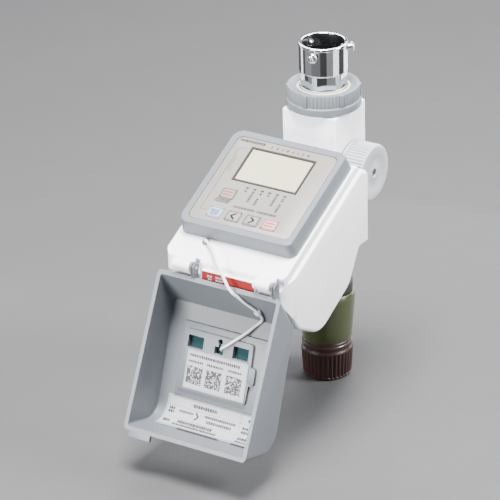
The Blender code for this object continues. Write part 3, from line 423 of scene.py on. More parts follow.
def fillet(corners, steps=10):
    """An outline from (x, y, radius) corners, each rounded by an arc of its radius."""
    points = []
    for i, (x, y, radius) in enumerate(corners):
        here = Vector((x, y))
        back = (Vector(corners[i - 1][:2]) - here).normalized()
        ahead = (Vector(corners[(i + 1) % len(corners)][:2]) - here).normalized()
        half = back.angle(ahead) / 2
        if radius <= 0 or half > math.pi / 2 - 1e-3:
            points.append((x, y))
            continue
        reach = radius / math.tan(half)
        centre = here + (back + ahead).normalized() * (radius / math.sin(half))
        start, end = here + back * reach - centre, here + ahead * reach - centre
        sweep = start.angle_signed(end)
        for k in range(steps + 1):
            turn = -sweep * k / steps
            point = Vector((
                start.x * math.cos(turn) - start.y * math.sin(turn),
                start.x * math.sin(turn) + start.y * math.cos(turn),
            )) + centre
            points.append((point.x, point.y))
    return points


def inset(corners, depth):
    """Moves an outline's sides in by depth and changes its corner radii to match."""
    area = sum(a[0] * b[1] - b[0] * a[1] for a, b in zip(corners, corners[1:] + corners[:1]))
    side = 1 if area > 0 else -1
    moved = []
    for i, (x, y, radius) in enumerate(corners):
        here = Vector((x, y))
        arrive = (here - Vector(corners[i - 1][:2])).normalized()
        leave = (Vector(corners[(i + 1) % len(corners)][:2]) - here).normalized()
        normals = [Vector((-v.y, v.x)) * side for v in (arrive, leave)]
        place = here + (normals[0] + normals[1]) * depth / (1 + normals[0].dot(normals[1]))
        outward = (arrive.x * leave.y - arrive.y * leave.x) * side > 0
        if radius:
            radius = max(radius - depth, 0.2) if outward else radius + depth
        moved.append((place.x, place.y, radius))
    return moved


def soft_prism(corners, half, radius, steps=5, arc_steps=10):
    """A prism from -half to +half along X whose end edges are rounded all the way round."""
    levels = []
    for k in range(steps + 1):
        turn = math.pi / 2 * k / steps
        levels.append((half - radius * (1 - math.cos(turn)), radius * (1 - math.sin(turn))))
    levels = sorted([(-x, depth) for x, depth in levels] + levels)
    bm = bmesh.new()
    rings = [[bm.verts.new((x, u, v)) for u, v in fillet(inset(corners, depth), arc_steps)]
             for x, depth in levels]
    for a, b in zip(rings, rings[1:]):
        for i in range(len(a)):
            j = (i + 1) % len(a)
            bm.faces.new((a[i], a[j], b[j], b[i]))
    bm.faces.new(rings[0][::-1])
    bm.faces.new(rings[-1])
    return bm


def box_outline(x0, x1, y0, y1, radius=0.0, steps=8):
    return fillet([(x0, y0, radius), (x1, y0, radius), (x1, y1, radius), (x0, y1, radius)], steps)


def panel_point(s, h):
    """(y, z) of a place s down the sloping panel and h above it."""
    y = PANEL_Y - s * math.cos(PANEL_TILT) - h * math.sin(PANEL_TILT)
    z = PANEL_Z - s * math.sin(PANEL_TILT) + h * math.cos(PANEL_TILT)
    return y, z


def panel_z_at(y, h):
    s = (PANEL_Y - y - h * math.sin(PANEL_TILT)) / math.cos(PANEL_TILT)
    return panel_point(s, h)[1]


def lid_point(along, height):
    """(s, t) of a place on the lid's floor: along it from the hinge end, height into the tray."""
    floor_s, floor_t, _ = inset(LID_CORNERS, LID_WALL)[1]
    s = floor_s + along * math.cos(FLOOR_ANGLE) + height * math.sin(FLOOR_ANGLE)
    t = floor_t + along * math.sin(FLOOR_ANGLE) - height * math.cos(FLOOR_ANGLE)
    return s, t


def floor_plate(outline, low, high, rim=0.0):
    bm = prism(outline, low, high, rim=rim, steps=2)
    for v in bm.verts:
        v.co = Vector((v.co.x, *lid_point(v.co.y, v.co.z)))
    return bm


def floor_slab(x0, x1, a0, a1, low, high, rim=0.0):
    return floor_plate([(x0, a0), (x1, a0), (x1, a1), (x0, a1)], low, high, rim)


# ------------------------------------------------------------------ pieces

def solid(bm, frame=None, at=(0, 0, 0), turn=0.0):
    """An object in metres, at the origin, from a shape in millimetres moved into its place."""
    place = Matrix.Translation(Vector(at)) @ Matrix.Rotation(turn, 4, "Z")
    if frame:
        place = frame @ place
    bmesh.ops.transform(bm, matrix=Matrix.Scale(MM, 4) @ place, verts=bm.verts)
    bmesh.ops.recalc_face_normals(bm, faces=bm.faces)
    mesh = bpy.data.meshes.new("shape")
    bm.to_mesh(mesh)
    bm.free()
    obj = bpy.data.objects.new("shape", mesh)
    bpy.context.scene.collection.objects.link(obj)
    return obj


def combine(target, tool, operation):
    """Joins, cuts or intersects target with tool, which is used up."""
    step = target.modifiers.new("combine", "BOOLEAN")
    step.operation, step.solver, step.object = operation, "EXACT", tool
    bpy.context.view_layer.update()
    result = bpy.data.meshes.new_from_object(
        target.evaluated_get(bpy.context.evaluated_depsgraph_get()))
    target.modifiers.remove(step)
    target.data = result
    bpy.data.objects.remove(tool, do_unlink=True)
    return target


def cut(target, *tools):
    for one in tools:
        combine(target, one, "DIFFERENCE")
    return target


def join(target, *tools):
    for one in tools:
        combine(target, one, "UNION")
    return target


def dress(obj, name, body, slot, nodes=(), finish=None, sharp=32):
    """Names a piece, gives it its finish, and puts it on its body in place of CAD nodes."""
    obj.name = name
    obj.data.name = name
    obj.data.materials.clear()
    obj.data.materials.append(FINISH[finish or slot])
    for face in obj.data.polygons:
        face.material_index = 0
    obj.data.shade_smooth()
    obj.data.set_sharp_from_angle(angle=math.radians(sharp))
    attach(obj, body)
    if nodes:
        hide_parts(*nodes)
    return obj


def arc(centre, radius, start, end, steps=5):
    """Profile points round a corner, with angles in degrees."""
    return [(centre[0] + radius * math.cos(math.radians(start + (end - start) * k / steps)),
             centre[1] + radius * math.sin(math.radians(start + (end - start) * k / steps)))
            for k in range(steps + 1)]


def inlet():
    profile = [(10.4, -29.4), (15.6, -29.4), (15.6, -27.6), (13.1, -27.6), (13.1, -16.6)]
    profile += arc((13.0, -16.0), 0.4, -40, 0) + [(13.4, -1.7)]
    profile += arc((13.26, -1.2), 0.5, -40, 0) + arc((13.26, -0.5), 0.5, 0, 90)
    profile += arc((12.2, -0.4), 0.4, 90, 180) + [
        (COLLAR_BORE_R, COLLAR_STEP_Z + 0.2), (COLLAR_STEP_R, COLLAR_STEP_Z),
        (COLLAR_STEP_R, -19.4), (10.4, -20.0)]
    collar = solid(turned(profile, 128))
    # a near-black lining of the bore, down to its step and below it: painted shade inside the hole
    bore_shade = solid(turned([(11.72, -7.1), (11.72, -1.0), (11.78, -1.0), (11.78, -7.1)]))
    join(bore_shade, solid(turned([(11.42, -19.3), (11.42, -7.05), (11.76, -7.05), (11.48, -7.5),
                               (11.48, -19.3)])))
    for angle in CLAMP_ANGLES.values():
        across = math.radians(angle - 90)
        for part in (collar, bore_shade):
            cut(part, solid(disc(2.2, 6, 20, "X"), at=(0, 0, CLAMP_Z), turn=across))
        for turn in (30, 90):  # wrench flats on the neck
            cut(collar, solid(block(COLLAR_FLAT_R, 16, -7, 7, *COLLAR_FLATS_Z),
                              turn=across + math.radians(turn)))
    dress(collar, "collar_polished", "housing", "chrome", ["faucet_collar"])
    # the bore's lining takes the near-black finish, painted shade, in place of chrome
    dress(bore_shade, "collar_bore", "housing", "chrome", finish="bore_painted_shade")
    head = [(0, 9.0), (0.9, 9.0), (1.6, 9.8), (1.9, 10.2), (1.9, 15.2), (2.75, 15.2), (2.9, 15.4),
            (2.9, 15.9)]
    head += [(2.9 * math.cos(a), 15.9 + 1.5 * math.sin(a))
             for a in (math.radians(10 * k) for k in range(1, 9))] + [(0, 17.4)]
    for side, angle in CLAMP_ANGLES.items():
        turn = math.radians(angle - 90)
        screw = solid(turned(head, 40, "X"), at=(0, 0, CLAMP_Z), turn=turn)
        for wide, tall in ((1.5, 0.32), (0.32, 1.5)):
            cut(screw, solid(block(16.3, 18, -wide, wide, -tall, tall), at=(0, 0, CLAMP_Z),
                             turn=turn))
        dress(screw, f"screw_{side}_polished", f"screw_{side}", "steel", [f"clamp_screw_{side}"])
    slip = [(13.5, -27.3), (16.6, -27.3), (16.6, -26.5), (14.9, -26.5), (14.9, -26.1), (14.7, -25.9),
            (13.7, -25.9), (13.5, -26.1)]
    dress(solid(turned(slip)), "slip_ring_fine", "housing", "packing_cream", ["slip_ring"])


def union():
    profile = [(16.0, -36.9)] + arc((20.6, -36.5), 0.4, -90, 0) + arc((20.4, -33.2), 0.6, 0, 80)
    profile += [(20.3, -32.4, True), (20.3, -25.5, True), (20.1, -25.1, True), (19.7, -25.0),
                (18.9, -25.0), (18.3, -25.3), (15.5, -25.8), (15.2, -25.95), (15.2, -26.2),
                (16.9, -26.2), (16.9, -27.6), (16.0, -27.6)]
    nut = solid(turned(profile, ribs=60, depth=0.42))
    for i in range(6):
        join(nut, solid(block(-1.3, 1.3, -20.75, -18.6, -32.8, -25.2, 0.3),
                        turn=2 * math.pi * i / 6))
    dress(nut, "union_nut_fine", "union", "trim_grey", ["union_nut"])


def column():
    body = solid(prism(box_outline(-COLUMN_HALF, COLUMN_HALF, -COLUMN_HALF, COLUMN_HALF, 1.6),
                       COLUMN_BOTTOM_Z, COLUMN_TOP_Z, rim=0.5))
    inner = COLUMN_HALF - COLUMN_WALL
    cut(body, solid(block(-inner, inner, -inner, inner, COLUMN_BOTTOM_Z - 1, COLUMN_TOP_Z - 2.4)),
        solid(disc(12.4, -42, -36)), solid(disc(STEM_R + 0.8, 10, 20, "X", centre=(0, VALVE_Z))),
        solid(gear_slot()))
    for z in COLUMN_SCREW_Z:
        cut(body, solid(disc(SCREW_HOLE_R, -19, -12, "Y", 24, (z, 0))))
    dress(body, "column_fine", "housing", "casing_white", ["valve_column"])


def gear_slot():
    return block(GEAR_X[0] - 0.5, GEAR_X[1] + 0.5, -21, -12, DRIVE_Z - 12, DRIVE_Z + 12)


def knob():
    profile = [(STEM_R + GAP, 17.8), (16.4, 17.8), (16.58, 18.0), (16.58, 18.9), (16.3, 19.1),
               (16.18, 19.3, True), (16.18, 30.4, True), (16.0, 30.9, True)]
    profile += arc((14.8, 30.8), 1.2, 20, 90) + [
        (10.0, 32.0), (9.6, 31.85), (4.4, 31.75), (4.0, 31.9), (2.6, 31.9), (2.3, 31.7), (2.3, 27.4),
        (STEM_R + GAP, 27.4)]
    dress(solid(turned(profile, axis="X", ribs=52, depth=0.75), VALVE), "knob_fine", "knob",
          "trim_grey", ["manual_knob"], finish="knob_grey")


def hose_end():
    adapter = [(9.8, -144.8), (13.6, -144.8)] + arc((13.7, -144.3), 0.5, -90, 0)
    adapter += [(14.2, -130.0), (13.4, -129.4), (13.4, -121.9), (9.8, -121.9)]
    dress(solid(turned(adapter)), "adapter_fine", "housing", "casing_white", ["outlet_adapter"])
    seal = [(9.8, -151.1)] + arc((14.5, -150.5), 0.6, -90, 0) + arc((14.5, -145.7), 0.6, 0, 90)
    dress(solid(turned(seal + [(9.8, -145.1)])), "outlet_seal_fine", "housing", "rubber_black",
          ["outlet_seal"])
    body = [(7.1, -184.0), (10.4, -184.0), (10.4, -192.0), (12.0, -192.0), (12.0, -181.1),
            (14.1, -181.1), (14.35, -180.6), (14.9, -175.0), (15.5, -169.0), (15.9, -163.6),
            (16.2, -159.0), (16.4, -155.4), (16.35, -153.2), (16.0, -152.0), (15.5, -151.4),
            (9.8, -151.4), (9.8, -160.0), (7.1, -160.0)]
    dress(solid(turned(body)), "coupler_fine", "coupler", "coupler_green", ["hose_coupler"])
    nut = [(8.8, -203.4), (8.8, -205.0), (12.2, -205.0), (13.3, -204.4), (13.9, -203.2),
           (14.0, -202.8, True), (14.5, -196.0, True), (14.9, -188.6, True), (14.9, -187.9),
           (14.75, -187.3), (14.1, -186.6), (14.0, -186.2), (14.1, -185.8), (14.3, -185.5),
           (14.4, -185.2), (14.4, -183.6), (14.0, -183.2), (14.0, -181.8), (13.7, -181.4),
           (12.4, -181.4), (12.4, -195.0), (10.7, -202.6)]
    dress(solid(turned(nut, ribs=36, depth=0.75)), "hose_nut_fine", "nut", "nut_brown",
          ["hose_nut"])


def head_corners(front):
    """The head's side outline, as (y, z, radius) corners from the top of its back."""
    return [
        (HEAD_BACK_Y, panel_z_at(HEAD_BACK_Y, LEDGE_H), 9.0),
        (front, panel_z_at(front, LEDGE_H), 1.5),
        (front, -104.8, 3.0),
        (-95.5, -125.2, 12.0),
        (-72.5, -138.0, 16.0),
        (-40.2, -122.2, 14.0),
        (-29.5, -104.2, 3.0),
        (HEAD_BACK_Y, -104.1, 1.5),
    ]


def head_plan():
    """Plan outline: long curved front corners and small round back corners."""
    points = [(HEAD_HALF, HEAD_BACK_Y, 4.5), (-HEAD_HALF, HEAD_BACK_Y, 4.5)]
    back = fillet(points + [(-HEAD_HALF, SIDE_FRONT_Y, 0), (HEAD_HALF, SIDE_FRONT_Y, 0)], 8)
    depth = HEAD_FRONT_Y + 0.08 - SIDE_FRONT_Y
    width = HEAD_HALF - FRONT_HALF
    turns = [math.radians(a) for a in range(0, 91, 6)]
    left = [(-FRONT_HALF - width * math.cos(a), SIDE_FRONT_Y + depth * math.sin(a)) for a in turns]
    return [p for p in back if p[1] > SIDE_FRONT_Y] + left + [(-x, y) for x, y in left[::-1]]


def casing():
    """The head's whole form with its cavity, before it is split into two shells."""
    outer = solid(soft_prism(head_corners(HEAD_FRONT_Y), HEAD_HALF, 2.2))
    back_y, back_z = panel_point(-4.0, DECK_H)
    deck = fillet([
        (back_y, back_z, 4.0), (HEAD_FRONT_Y - 0.05, panel_z_at(HEAD_FRONT_Y, DECK_H), 3.0),
        (HEAD_FRONT_Y - 0.05, -97.5, 0), (-25.5, -66.0, 0)])
    join(outer, solid(prism(deck, -DECK_HALF, DECK_HALF, "X", rim=1.0)))
    combine(outer, solid(prism(head_plan(), -150, -30)), "INTERSECT")
    for low, high in BARRELS.values():
        lug = block(low + 0.2, high - 0.2, HINGE_Y, HEAD_FRONT_Y + 1.5,
                    HINGE_Z - BARREL_R + 0.4, HINGE_Z + 2.2)
        barrel = prism([(HINGE_Y + BARREL_R * math.cos(a), HINGE_Z + BARREL_R * math.sin(a))
                        for a in (math.radians(9 * k) for k in range(40))], low, high, "X", rim=0.3)
        join(outer, solid(lug), solid(barrel))
    join(outer, solid(block(-12.4, 21.0, -109.6, HEAD_FRONT_Y + 1, -101.9, -95.4)))
    cavity = fillet(inset(head_corners(HEAD_FRONT_Y + 3.4), SHELL_WALL), 5)
    under_deck = prism([(-35.2, -78.0), (35.2, -78.0), (35.2, 1.0), (-35.2, 1.0)], -19, -12.2)
    cut(outer, solid(prism(cavity, -HEAD_CAVITY_HALF, HEAD_CAVITY_HALF, "X")),
        solid(under_deck, PANEL))
    for low, high in ARMS.values():
        reach = 3.0 if high > 30 else 0.4
        cut(outer, solid(disc(POCKET_R, low - 0.35, high + reach, "X", 64, (HINGE_Y, HINGE_Z))))
    for low, high in BARRELS.values():
        cut(outer, solid(disc(PIN_R + GAP, low - 1, high + 1, "X", 24, (HINGE_Y, HINGE_Z))))
    return outer


def seam_half(above):
    """Everything on one side of the sloping seam between the head's two shells."""
    shift = GAP / 2 if above else -GAP / 2
    near, far = 0.0, -130.0
    line = [(y, SEAM_Z + SEAM_SLOPE * (y - SEAM_Y) + shift) for y in (near, far)]
    edge = -20.0 if above else -180.0
    return prism([line[0], line[1], (far, edge), (near, edge)], -60, 60, "X")


def head():
    whole = casing()
    upper = whole.copy()
    upper.data = whole.data.copy()
    bpy.context.scene.collection.objects.link(upper)
    combine(upper, solid(seam_half(True)), "INTERSECT")
    lower = combine(whole, solid(seam_half(False)), "INTERSECT")
    window = prism([(-31.0, -64.5), (31.0, -64.5), (31.0, -4.5), (-31.0, -4.5)], -20, -5)
    cut(upper, solid(window, PANEL), solid(disc(1.9, -20, -5, centre=GLAND_AT), PANEL),
        solid(gear_slot()))
    cut(lower, solid(gear_slot()))
    for z, shell in zip(COLUMN_SCREW_Z, (upper, lower)):
        cut(shell, solid(disc(SCREW_HOLE_R, -21, -16, "Y", 24, (z, 0))))
    for x in (-CASE_SCREW_X, CASE_SCREW_X):
        for radius, low, high in ((SCREW_HOLE_R, -140, -126), (2.6, -140, -134.9)):
            cut(lower, solid(disc(radius, low, high, segments=32, centre=(x, CASE_SCREW_Y))))
    dress(upper, "head_upper_fine", "housing", "casing_white", ["head_upper_shell"], sharp=24)
    dress(lower, "head_lower_fine", "housing", "casing_white", ["head_lower_shell"], sharp=24)


def bezel():
    bm = prism(box_outline(-BEZEL_HALF, BEZEL_HALF, -BEZEL_LENGTH, -0.2, 4.0), DECK_H + GAP, 0.0)
    centre_s = -BEZEL_LENGTH / 2
    for v in bm.verts:
        if v.co.z < DECK_H + 1:
            v.co.x *= 1 + 0.9 / BEZEL_HALF
            v.co.y = centre_s + (v.co.y - centre_s) * (1 + 0.9 / (BEZEL_LENGTH / 2))
    rim = [e for e in bm.edges if min(v.co.z for v in e.verts) > -0.01]
    bmesh.ops.bevel(bm, geom=rim, offset=1.2, segments=5, profile=0.5, affect="EDGES")
    ring = solid(bm, PANEL)
    inside = prism(box_outline(-32.9, 32.9, -66.5, -2.5, 2.0), DECK_H - 1, -2.6)
    recess = prism(box_outline(-31.6, 32.0, -65.4, -4.1, 3.5), -1.3, 1)
    opening = prism([(-29.5, -63.0), (29.5, -63.0), (29.5, -6.5), (-29.5, -6.5)], -5, 1)
    cut(ring, solid(inside, PANEL), solid(recess, PANEL), solid(opening, PANEL))
    dress(ring, "bezel_fine", "housing", "trim_grey", ["bezel"])


def faceplate():
    plate = solid(prism(box_outline(-31.3, 31.7, -65.1, -4.4, 3.3), -1.0, -0.2, rim=0.15, steps=2),
                  PANEL)
    window = prism([(LCD_X[0], -LCD_S[1]), (LCD_X[1], -LCD_S[1]), (LCD_X[1], -LCD_S[0]),
                    (LCD_X[0], -LCD_S[0])], -2, 1)
    cut(plate, solid(window, PANEL))
    half_x, half_s = BUTTON_SIZE[0] / 2 + 0.1, BUTTON_SIZE[1] / 2 + 0.1
    for x, s in BUTTONS.values():
        hole = prism(box_outline(x - half_x, x + half_x, -s - half_s, -s + half_s, 1.2), -2, 1)
        cut(plate, solid(hole, PANEL))
    dress(plate, "faceplate_fine", "housing", "overlay_cream", ["faceplate"])


def ink(name, marks, low, high, finish, body, slot, put=None, frame=None):
    """Printed marks, each a (x0, x1, y0, y1) patch raised a hair above what it is printed on."""
    bm = bmesh.new()
    for x0, x1, y0, y1 in marks:
        steps = max(1, math.ceil(abs(y1 - y0) / 1.2)) if put else 1
        rings = []
        for k in range(steps + 1):
            y = y0 + (y1 - y0) * k / steps
            corners = [(x0, low), (x1, low), (x1, high), (x0, high)]
            rings.append([bm.verts.new(put(x, y, h) if put else (x, y, h)) for x, h in corners])
        for a, b in zip(rings, rings[1:]):
            for i in range(4):
                j = (i + 1) % 4
                bm.faces.new((a[i], a[j], b[j], b[i]))
        bm.faces.new(rings[0][::-1])
        bm.faces.new(rings[-1])
    return dress(solid(bm, frame), name, body, slot, finish=finish)


def strokes(points, width):
    """A chevron or bent line, made of small steps because a patch of print cannot turn."""
    marks = []
    for (x0, y0), (x1, y1) in zip(points, points[1:]):
        count = max(2, math.ceil(max(abs(x1 - x0), abs(y1 - y0)) / 0.22))
        for k in range(count):
            x, y = x0 + (x1 - x0) * (k + 0.5) / count, y0 + (y1 - y0) * (k + 0.5) / count
            half_x = max(width / 2, abs(x1 - x0) / count / 2)
            half_y = max(width / 2, abs(y1 - y0) / count / 2)
            marks.append((x - half_x, x + half_x, y - half_y, y + half_y))
    return marks


def row(x0, x1, y, height, pitch, dice, gap=0.25):
    """A line of print as small blocks of uneven width."""
    marks, x = [], x0
    while x < x1 - pitch * 0.3:
        wide = min(pitch * (0.5 + 0.45 * dice.random()), x1 - x)
        tall = height * (1.0 + 0.4 * dice.random())
        marks.append((x, x + wide, y - tall / 2, y + tall / 2))
        x += wide + gap
    return marks


def frame_marks(x0, x1, y0, y1, line):
    return [(x0, x1, y0, y0 + line), (x0, x1, y1 - line, y1), (x0, x0 + line, y0, y1),
            (x1 - line, x1, y0, y1)]


def panel_print():
    """Leader lines and small legends on the faceplate, in panel places (x, minus s)."""
    dice = random.Random(4)
    dark = row(-29.3, -13.2, -6.5, 1.5, 1.5, dice)
    dark += row(-22.0, -12.6, -49.0, 1.1, 1.0, dice) + row(-22.4, -13.2, -50.4, 0.9, 1.0, dice)
    pale = row(-9.2, 16.0, -7.3, 1.2, 1.3, dice, 2.4)
    stacks = {-8.0: ((39.4, 40.9),), -3.3: ((39.0, 46.4),), 1.4: ((39.2, 40.6), (43.0, 47.6)),
              6.1: ((39.2, 40.8),), 10.8: ((39.0, 46.4),), 15.6: ((39.2, 40.9), (43.2, 49.2))}
    for x, runs in stacks.items():
        dark.append((x - 0.9, x + 0.9, -38.3, -36.9))
        for start, end in runs:
            s = start
            while s < end - 0.4:
                tall = 0.7 + 0.5 * dice.random()
                pale.append((x - 0.75, x + 0.75, -s - tall, -s))
                s += tall + 0.35
    pale += row(-9.4, 4.2, -51.6, 1.2, 1.1, dice) + row(5.4, 17.6, -51.6, 1.2, 1.1, dice)
    dark += [(-27.1, -26.85, -57.6, -12.2), (-27.1, -22.2, -57.85, -57.6),
             (-27.1, -23.2, -12.2, -11.95), (-25.5, -25.25, -28.8, -19.8),
             (-25.5, -24.2, -29.05, -28.8), (-25.5, -24.2, -19.8, -19.55)]
    for name, marks, finish in (("dark", dark, "ink_dark"), ("pale", pale, "ink_pale")):
        ink("panel_print_" + name, marks, PRINT_LOW, PRINT_HIGH, finish, "housing", "overlay_cream",
            frame=PANEL)


def keys():
    """Membrane keys with their printed outlines and legends."""
    dice = random.Random(9)
    looks = {"button_mode": ("overlay_cream", "ink_red"), "button_back": ("key_blue", "ink_blue"),
             "button_left": ("overlay_cream", "ink_dark"),
             "button_right": ("overlay_cream", "ink_dark"), "button_set": ("key_pink", "ink_red")}
    for name, (x, s) in BUTTONS.items():
        face, mark = looks[name]
        half_x, half_s = BUTTON_SIZE[0] / 2 - 0.2, BUTTON_SIZE[1] / 2 - 0.2
        outline = box_outline(x - half_x, x + half_x, -s - half_s, -s + half_s, 1.0)
        key = solid(prism(outline, -4.4, KEY_TOP, rim=0.25), PANEL)
        dress(key, name + "_key", name, "overlay_cream", [name], finish=face)
        line_x, line_s = half_x - 0.3, half_s - 0.3
        edge = frame_marks(x - line_x, x + line_x, -s - line_s, -s + line_s, 0.42)
        ink(name + "_outline", edge, KEY_TOP - 0.02, KEY_TOP + 0.03,
            "ink_pale" if name == "button_mode" else "ink_dark", name, "overlay_cream", frame=PANEL)
        if name in ("button_left", "button_right"):
            side = 1 if name == "button_left" else -1
            marks = strokes([(x + side * 1.1, -s + 2.0), (x - side * 1.4, -s),
                             (x + side * 1.1, -s - 2.0)], 0.85)
        else:
            rows = (1.3, -0.1, -1.5) if name == "button_back" else (1.0, -1.0)
            marks = []
            for offset in rows:
                marks += row(x - 2.8, x + 2.8, -s + offset, 1.0, 1.2, dice)
        ink(name + "_legend", marks, KEY_TOP - 0.02, KEY_TOP + 0.03, mark, name, "overlay_cream",
            frame=PANEL)


def red_label():
    """The strip between the hinge's barrels, with a few generic marks."""
    tag = solid(block(-12.1, 20.6, -110.05, -109.8, -101.6, -95.6))
    dress(tag, "label_red_fine", "housing", "label_red", ["caution_label"])
    dice = random.Random(2)
    marks = []
    for x0, x1, z in ((-8.6, -5.6, -97.8), (-3.4, 1.6, -97.6), (-3.4, 1.0, -99.4),
                      (-8.2, -6.0, -99.6)):
        marks += row(x0, x1, z, 1.0, 1.0, dice)
    turned_up = Matrix(((1, 0, 0, 0), (0, 0, -1, 0), (0, 1, 0, 0), (0, 0, 0, 1)))
    ink("label_red_marks", marks, 110.0, 110.08, "label_white", "housing", "label_red",
        frame=turned_up)


def lid_arm(low, high):
    """A hinge arm: a ring about the pin with a foot on the tray's rim, slotted down its middle."""
    ring = [(BARREL_R * math.cos(math.radians(a)), BARREL_R * math.sin(math.radians(a)))
            for a in range(90, 271, 9)]
    outline = ring + [(4.0, -0.6), (5.6, 1.0), (8.6, 6.4), (6.9, 6.0)]
    middle = (low + high) / 2
    return cut(solid(prism(outline, low, high, "X"), LID),
               solid(disc(PIN_R + GAP, low - 1, high + 1, "X", 24), LID),
               solid(block(middle - 0.25, middle + 0.25, -4, 4.2, -4, 4), LID))


def window_cuts():
    """Two square windows and the keyhole, through the plates of the lid's floor."""
    turn, steps = math.radians(57.8), 24
    keyhole = [(-2.9, 19.4), (-5.2, 19.4), (-5.2, 23.4), (0.3, 23.4), (0.3, 19.4), (-1.3, 19.4)]
    for k in range(steps + 1):
        angle = turn - (math.pi + 2 * turn) * k / steps
        keyhole.append((-2.1 + 1.5 * math.cos(angle), 16.4 + 1.5 * math.sin(angle)))
    outlines = (keyhole, box_outline(-22.3, -12.4, *WINDOW_ALONG),
                box_outline(6.3, 16.2, *WINDOW_ALONG))
    return [solid(floor_plate(outline, -1.0, 6.0), LID) for outline in outlines]


def lid():
    shell = solid(soft_prism(LID_CORNERS, LID_HALF, 2.4), LID)
    hollow = soft_prism(inset(LID_CORNERS, LID_WALL), LID_HALF - LID_WALL, 1.2)
    cut(shell, solid(hollow, LID), solid(block(-60, 60, -20, 120, -30, LID_RIM_T), LID))
    join(shell, solid(floor_slab(-27.0, 27.0, 9.8, 51.0, -0.6, 1.5, 0.3), LID))
    cut(shell, solid(floor_slab(-25.6, 25.6, 11.5, 50.0, -4.5, 0.2), LID), *window_cuts())
    tab = block(-34.9, -21.3, LID_FAR_S - 1.2, LID_FAR_S + 3.6, LID_RIM_T + 0.1, LID_RIM_T + 2.1,
                0.3)
    join(shell, solid(tab, LID), *[lid_arm(low, high) for low, high in ARMS.values()])
    dress(shell, "lid_fine", "lid", "trim_grey", ["lid_shell"], sharp=26)
    outline = fillet([
        (-24.6, 13.5, 1.5), (18.4, 13.5, 1.5), (18.4, 26.2, 0), (21.7, 26.2, 1.5),
        (21.7, 36.0, 1.5), (18.4, 36.0, 0), (18.4, 47.0, 1.5), (-24.6, 47.0, 1.5)], 6)
    plate = cut(solid(floor_plate(outline, 1.8, 3.2, 0.3), LID), *window_cuts())
    dress(plate, "backplate_fine", "lid", "trim_grey", ["solar_backplate"])


def label_curve():
    """The path down the lid's floor and round its far corner, as (s, t) points."""
    corner = fillet(inset(LID_CORNERS, LID_WALL + 0.2), 16)
    return [Vector(lid_point(52.0, 0.2))] + [Vector(p) for p in corner[18:35]]


def on_curve(path, x, travel, height):
    """The place travel along the label's path and height off it, into the tray."""
    for a, b in zip(path, path[1:]):
        length = (b - a).length
        if travel <= length or b is path[-1]:
            ahead = (b - a).normalized()
            inward = Vector((ahead.y, -ahead.x))
            point = a + ahead * travel + inward * height
            return x, point.x, point.y
        travel -= length
    raise ValueError("the label's path has no points")


def labels():
    """The two paper labels inside the lid, with rows of generic marks."""
    dress(solid(floor_slab(-21.1, 17.6, 24.4, 45.9, PAPER_TOP - 0.25, PAPER_TOP), LID),
          "label_upper_fine", "lid", "label_white", ["lid_label_upper"])
    dice = random.Random(7)

    def flat(x, along, height):
        return x, *lid_point(along, height)

    pale = row(-19.4, 13.0, 27.2, 1.3, 1.5, dice, 0.3)
    for x0, x1 in ((-19.6, -10.6), (-8.0, 2.4), (5.4, 14.4)):
        pale += row(x0, x1, 30.6, 1.0, 1.2, dice)
    pale += frame_marks(-20.7, 17.2, 24.8, 45.5, 0.12)
    dark = []
    cells, cell = 17, 0.58
    for x0 in (-20.0, -7.9, 4.9):
        for i in range(cells):
            for j in range(cells):
                if dice.random() < 0.7:
                    x, along = x0 + i * cell, 33.2 + j * cell
                    dark.append((x, x + cell, along, along + cell))
    for name, marks, finish in (("rows", pale, "ink_pale"), ("dots", dark, "ink_dark")):
        ink("label_upper_" + name, marks, PAPER_TOP - 0.02, PAPER_TOP + 0.03, finish, "lid",
            "label_white", flat, LID)

    path = label_curve()
    total = sum((b - a).length for a, b in zip(path, path[1:]))

    def curved(x, travel, height):
        return on_curve(path, x, travel, height)

    ink("label_lower_fine", [(-30.6, 31.0, 0.0, total)], 0.0, 0.25, "label_white", "lid",
        "label_white", curved, LID)
    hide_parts("lid_label_lower")
    grid = frame_marks(-30.0, 30.4, 0.6, total - 0.6, 0.15)
    grid += [(-30.0, 30.4, 5.6, 5.72), (-30.0, 30.4, 12.6, 12.72), (16.4, 16.55, 0.6, total - 0.6),
             (-30.0, 30.4, 19.6, 19.72)]
    text = row(-14.0, 1.0, 3.4, 1.6, 1.7, dice) + row(21.0, 29.0, 3.4, 1.4, 1.6, dice)
    text += row(-28.6, -25.0, 7.4, 1.2, 1.3, dice) + row(-28.6, -25.0, 9.4, 1.2, 1.3, dice)
    text += row(-22.0, -13.0, 8.0, 1.1, 1.3, dice) + row(-6.0, 14.0, 7.6, 1.2, 1.2, dice)
    text += strokes([(-11.4, 6.9), (-9.6, 9.0), (-11.4, 11.1)], 0.8)
    text += row(-4.0, 12.0, 10.4, 1.5, 1.4, dice) + row(18.4, 29.6, 8.0, 1.3, 1.4, dice)
    text += row(18.4, 28.0, 10.4, 1.5, 1.4, dice)
    text += row(-20.0, 2.0, 14.6, 1.7, 1.6, dice) + row(18.4, 29.6, 14.8, 1.6, 1.6, dice)
    text += row(-28.6, -24.6, 15.6, 1.9, 1.8, dice)
    text += row(-22.0, 6.0, 17.3, 1.5, 1.4, dice) + row(18.4, 28.4, 17.6, 1.4, 1.5, dice)
    text += row(-16.0, 10.0, 21.6, 1.6, 1.6, dice) + row(18.4, 29.2, 21.6, 1.6, 1.5, dice)
    ink("label_lower_grid", grid, 0.24, 0.29, "ink_pale", "lid", "label_white", curved, LID)
    ink("label_lower_rows", text, 0.24, 0.29, "ink_dark", "lid", "label_white", curved, LID)


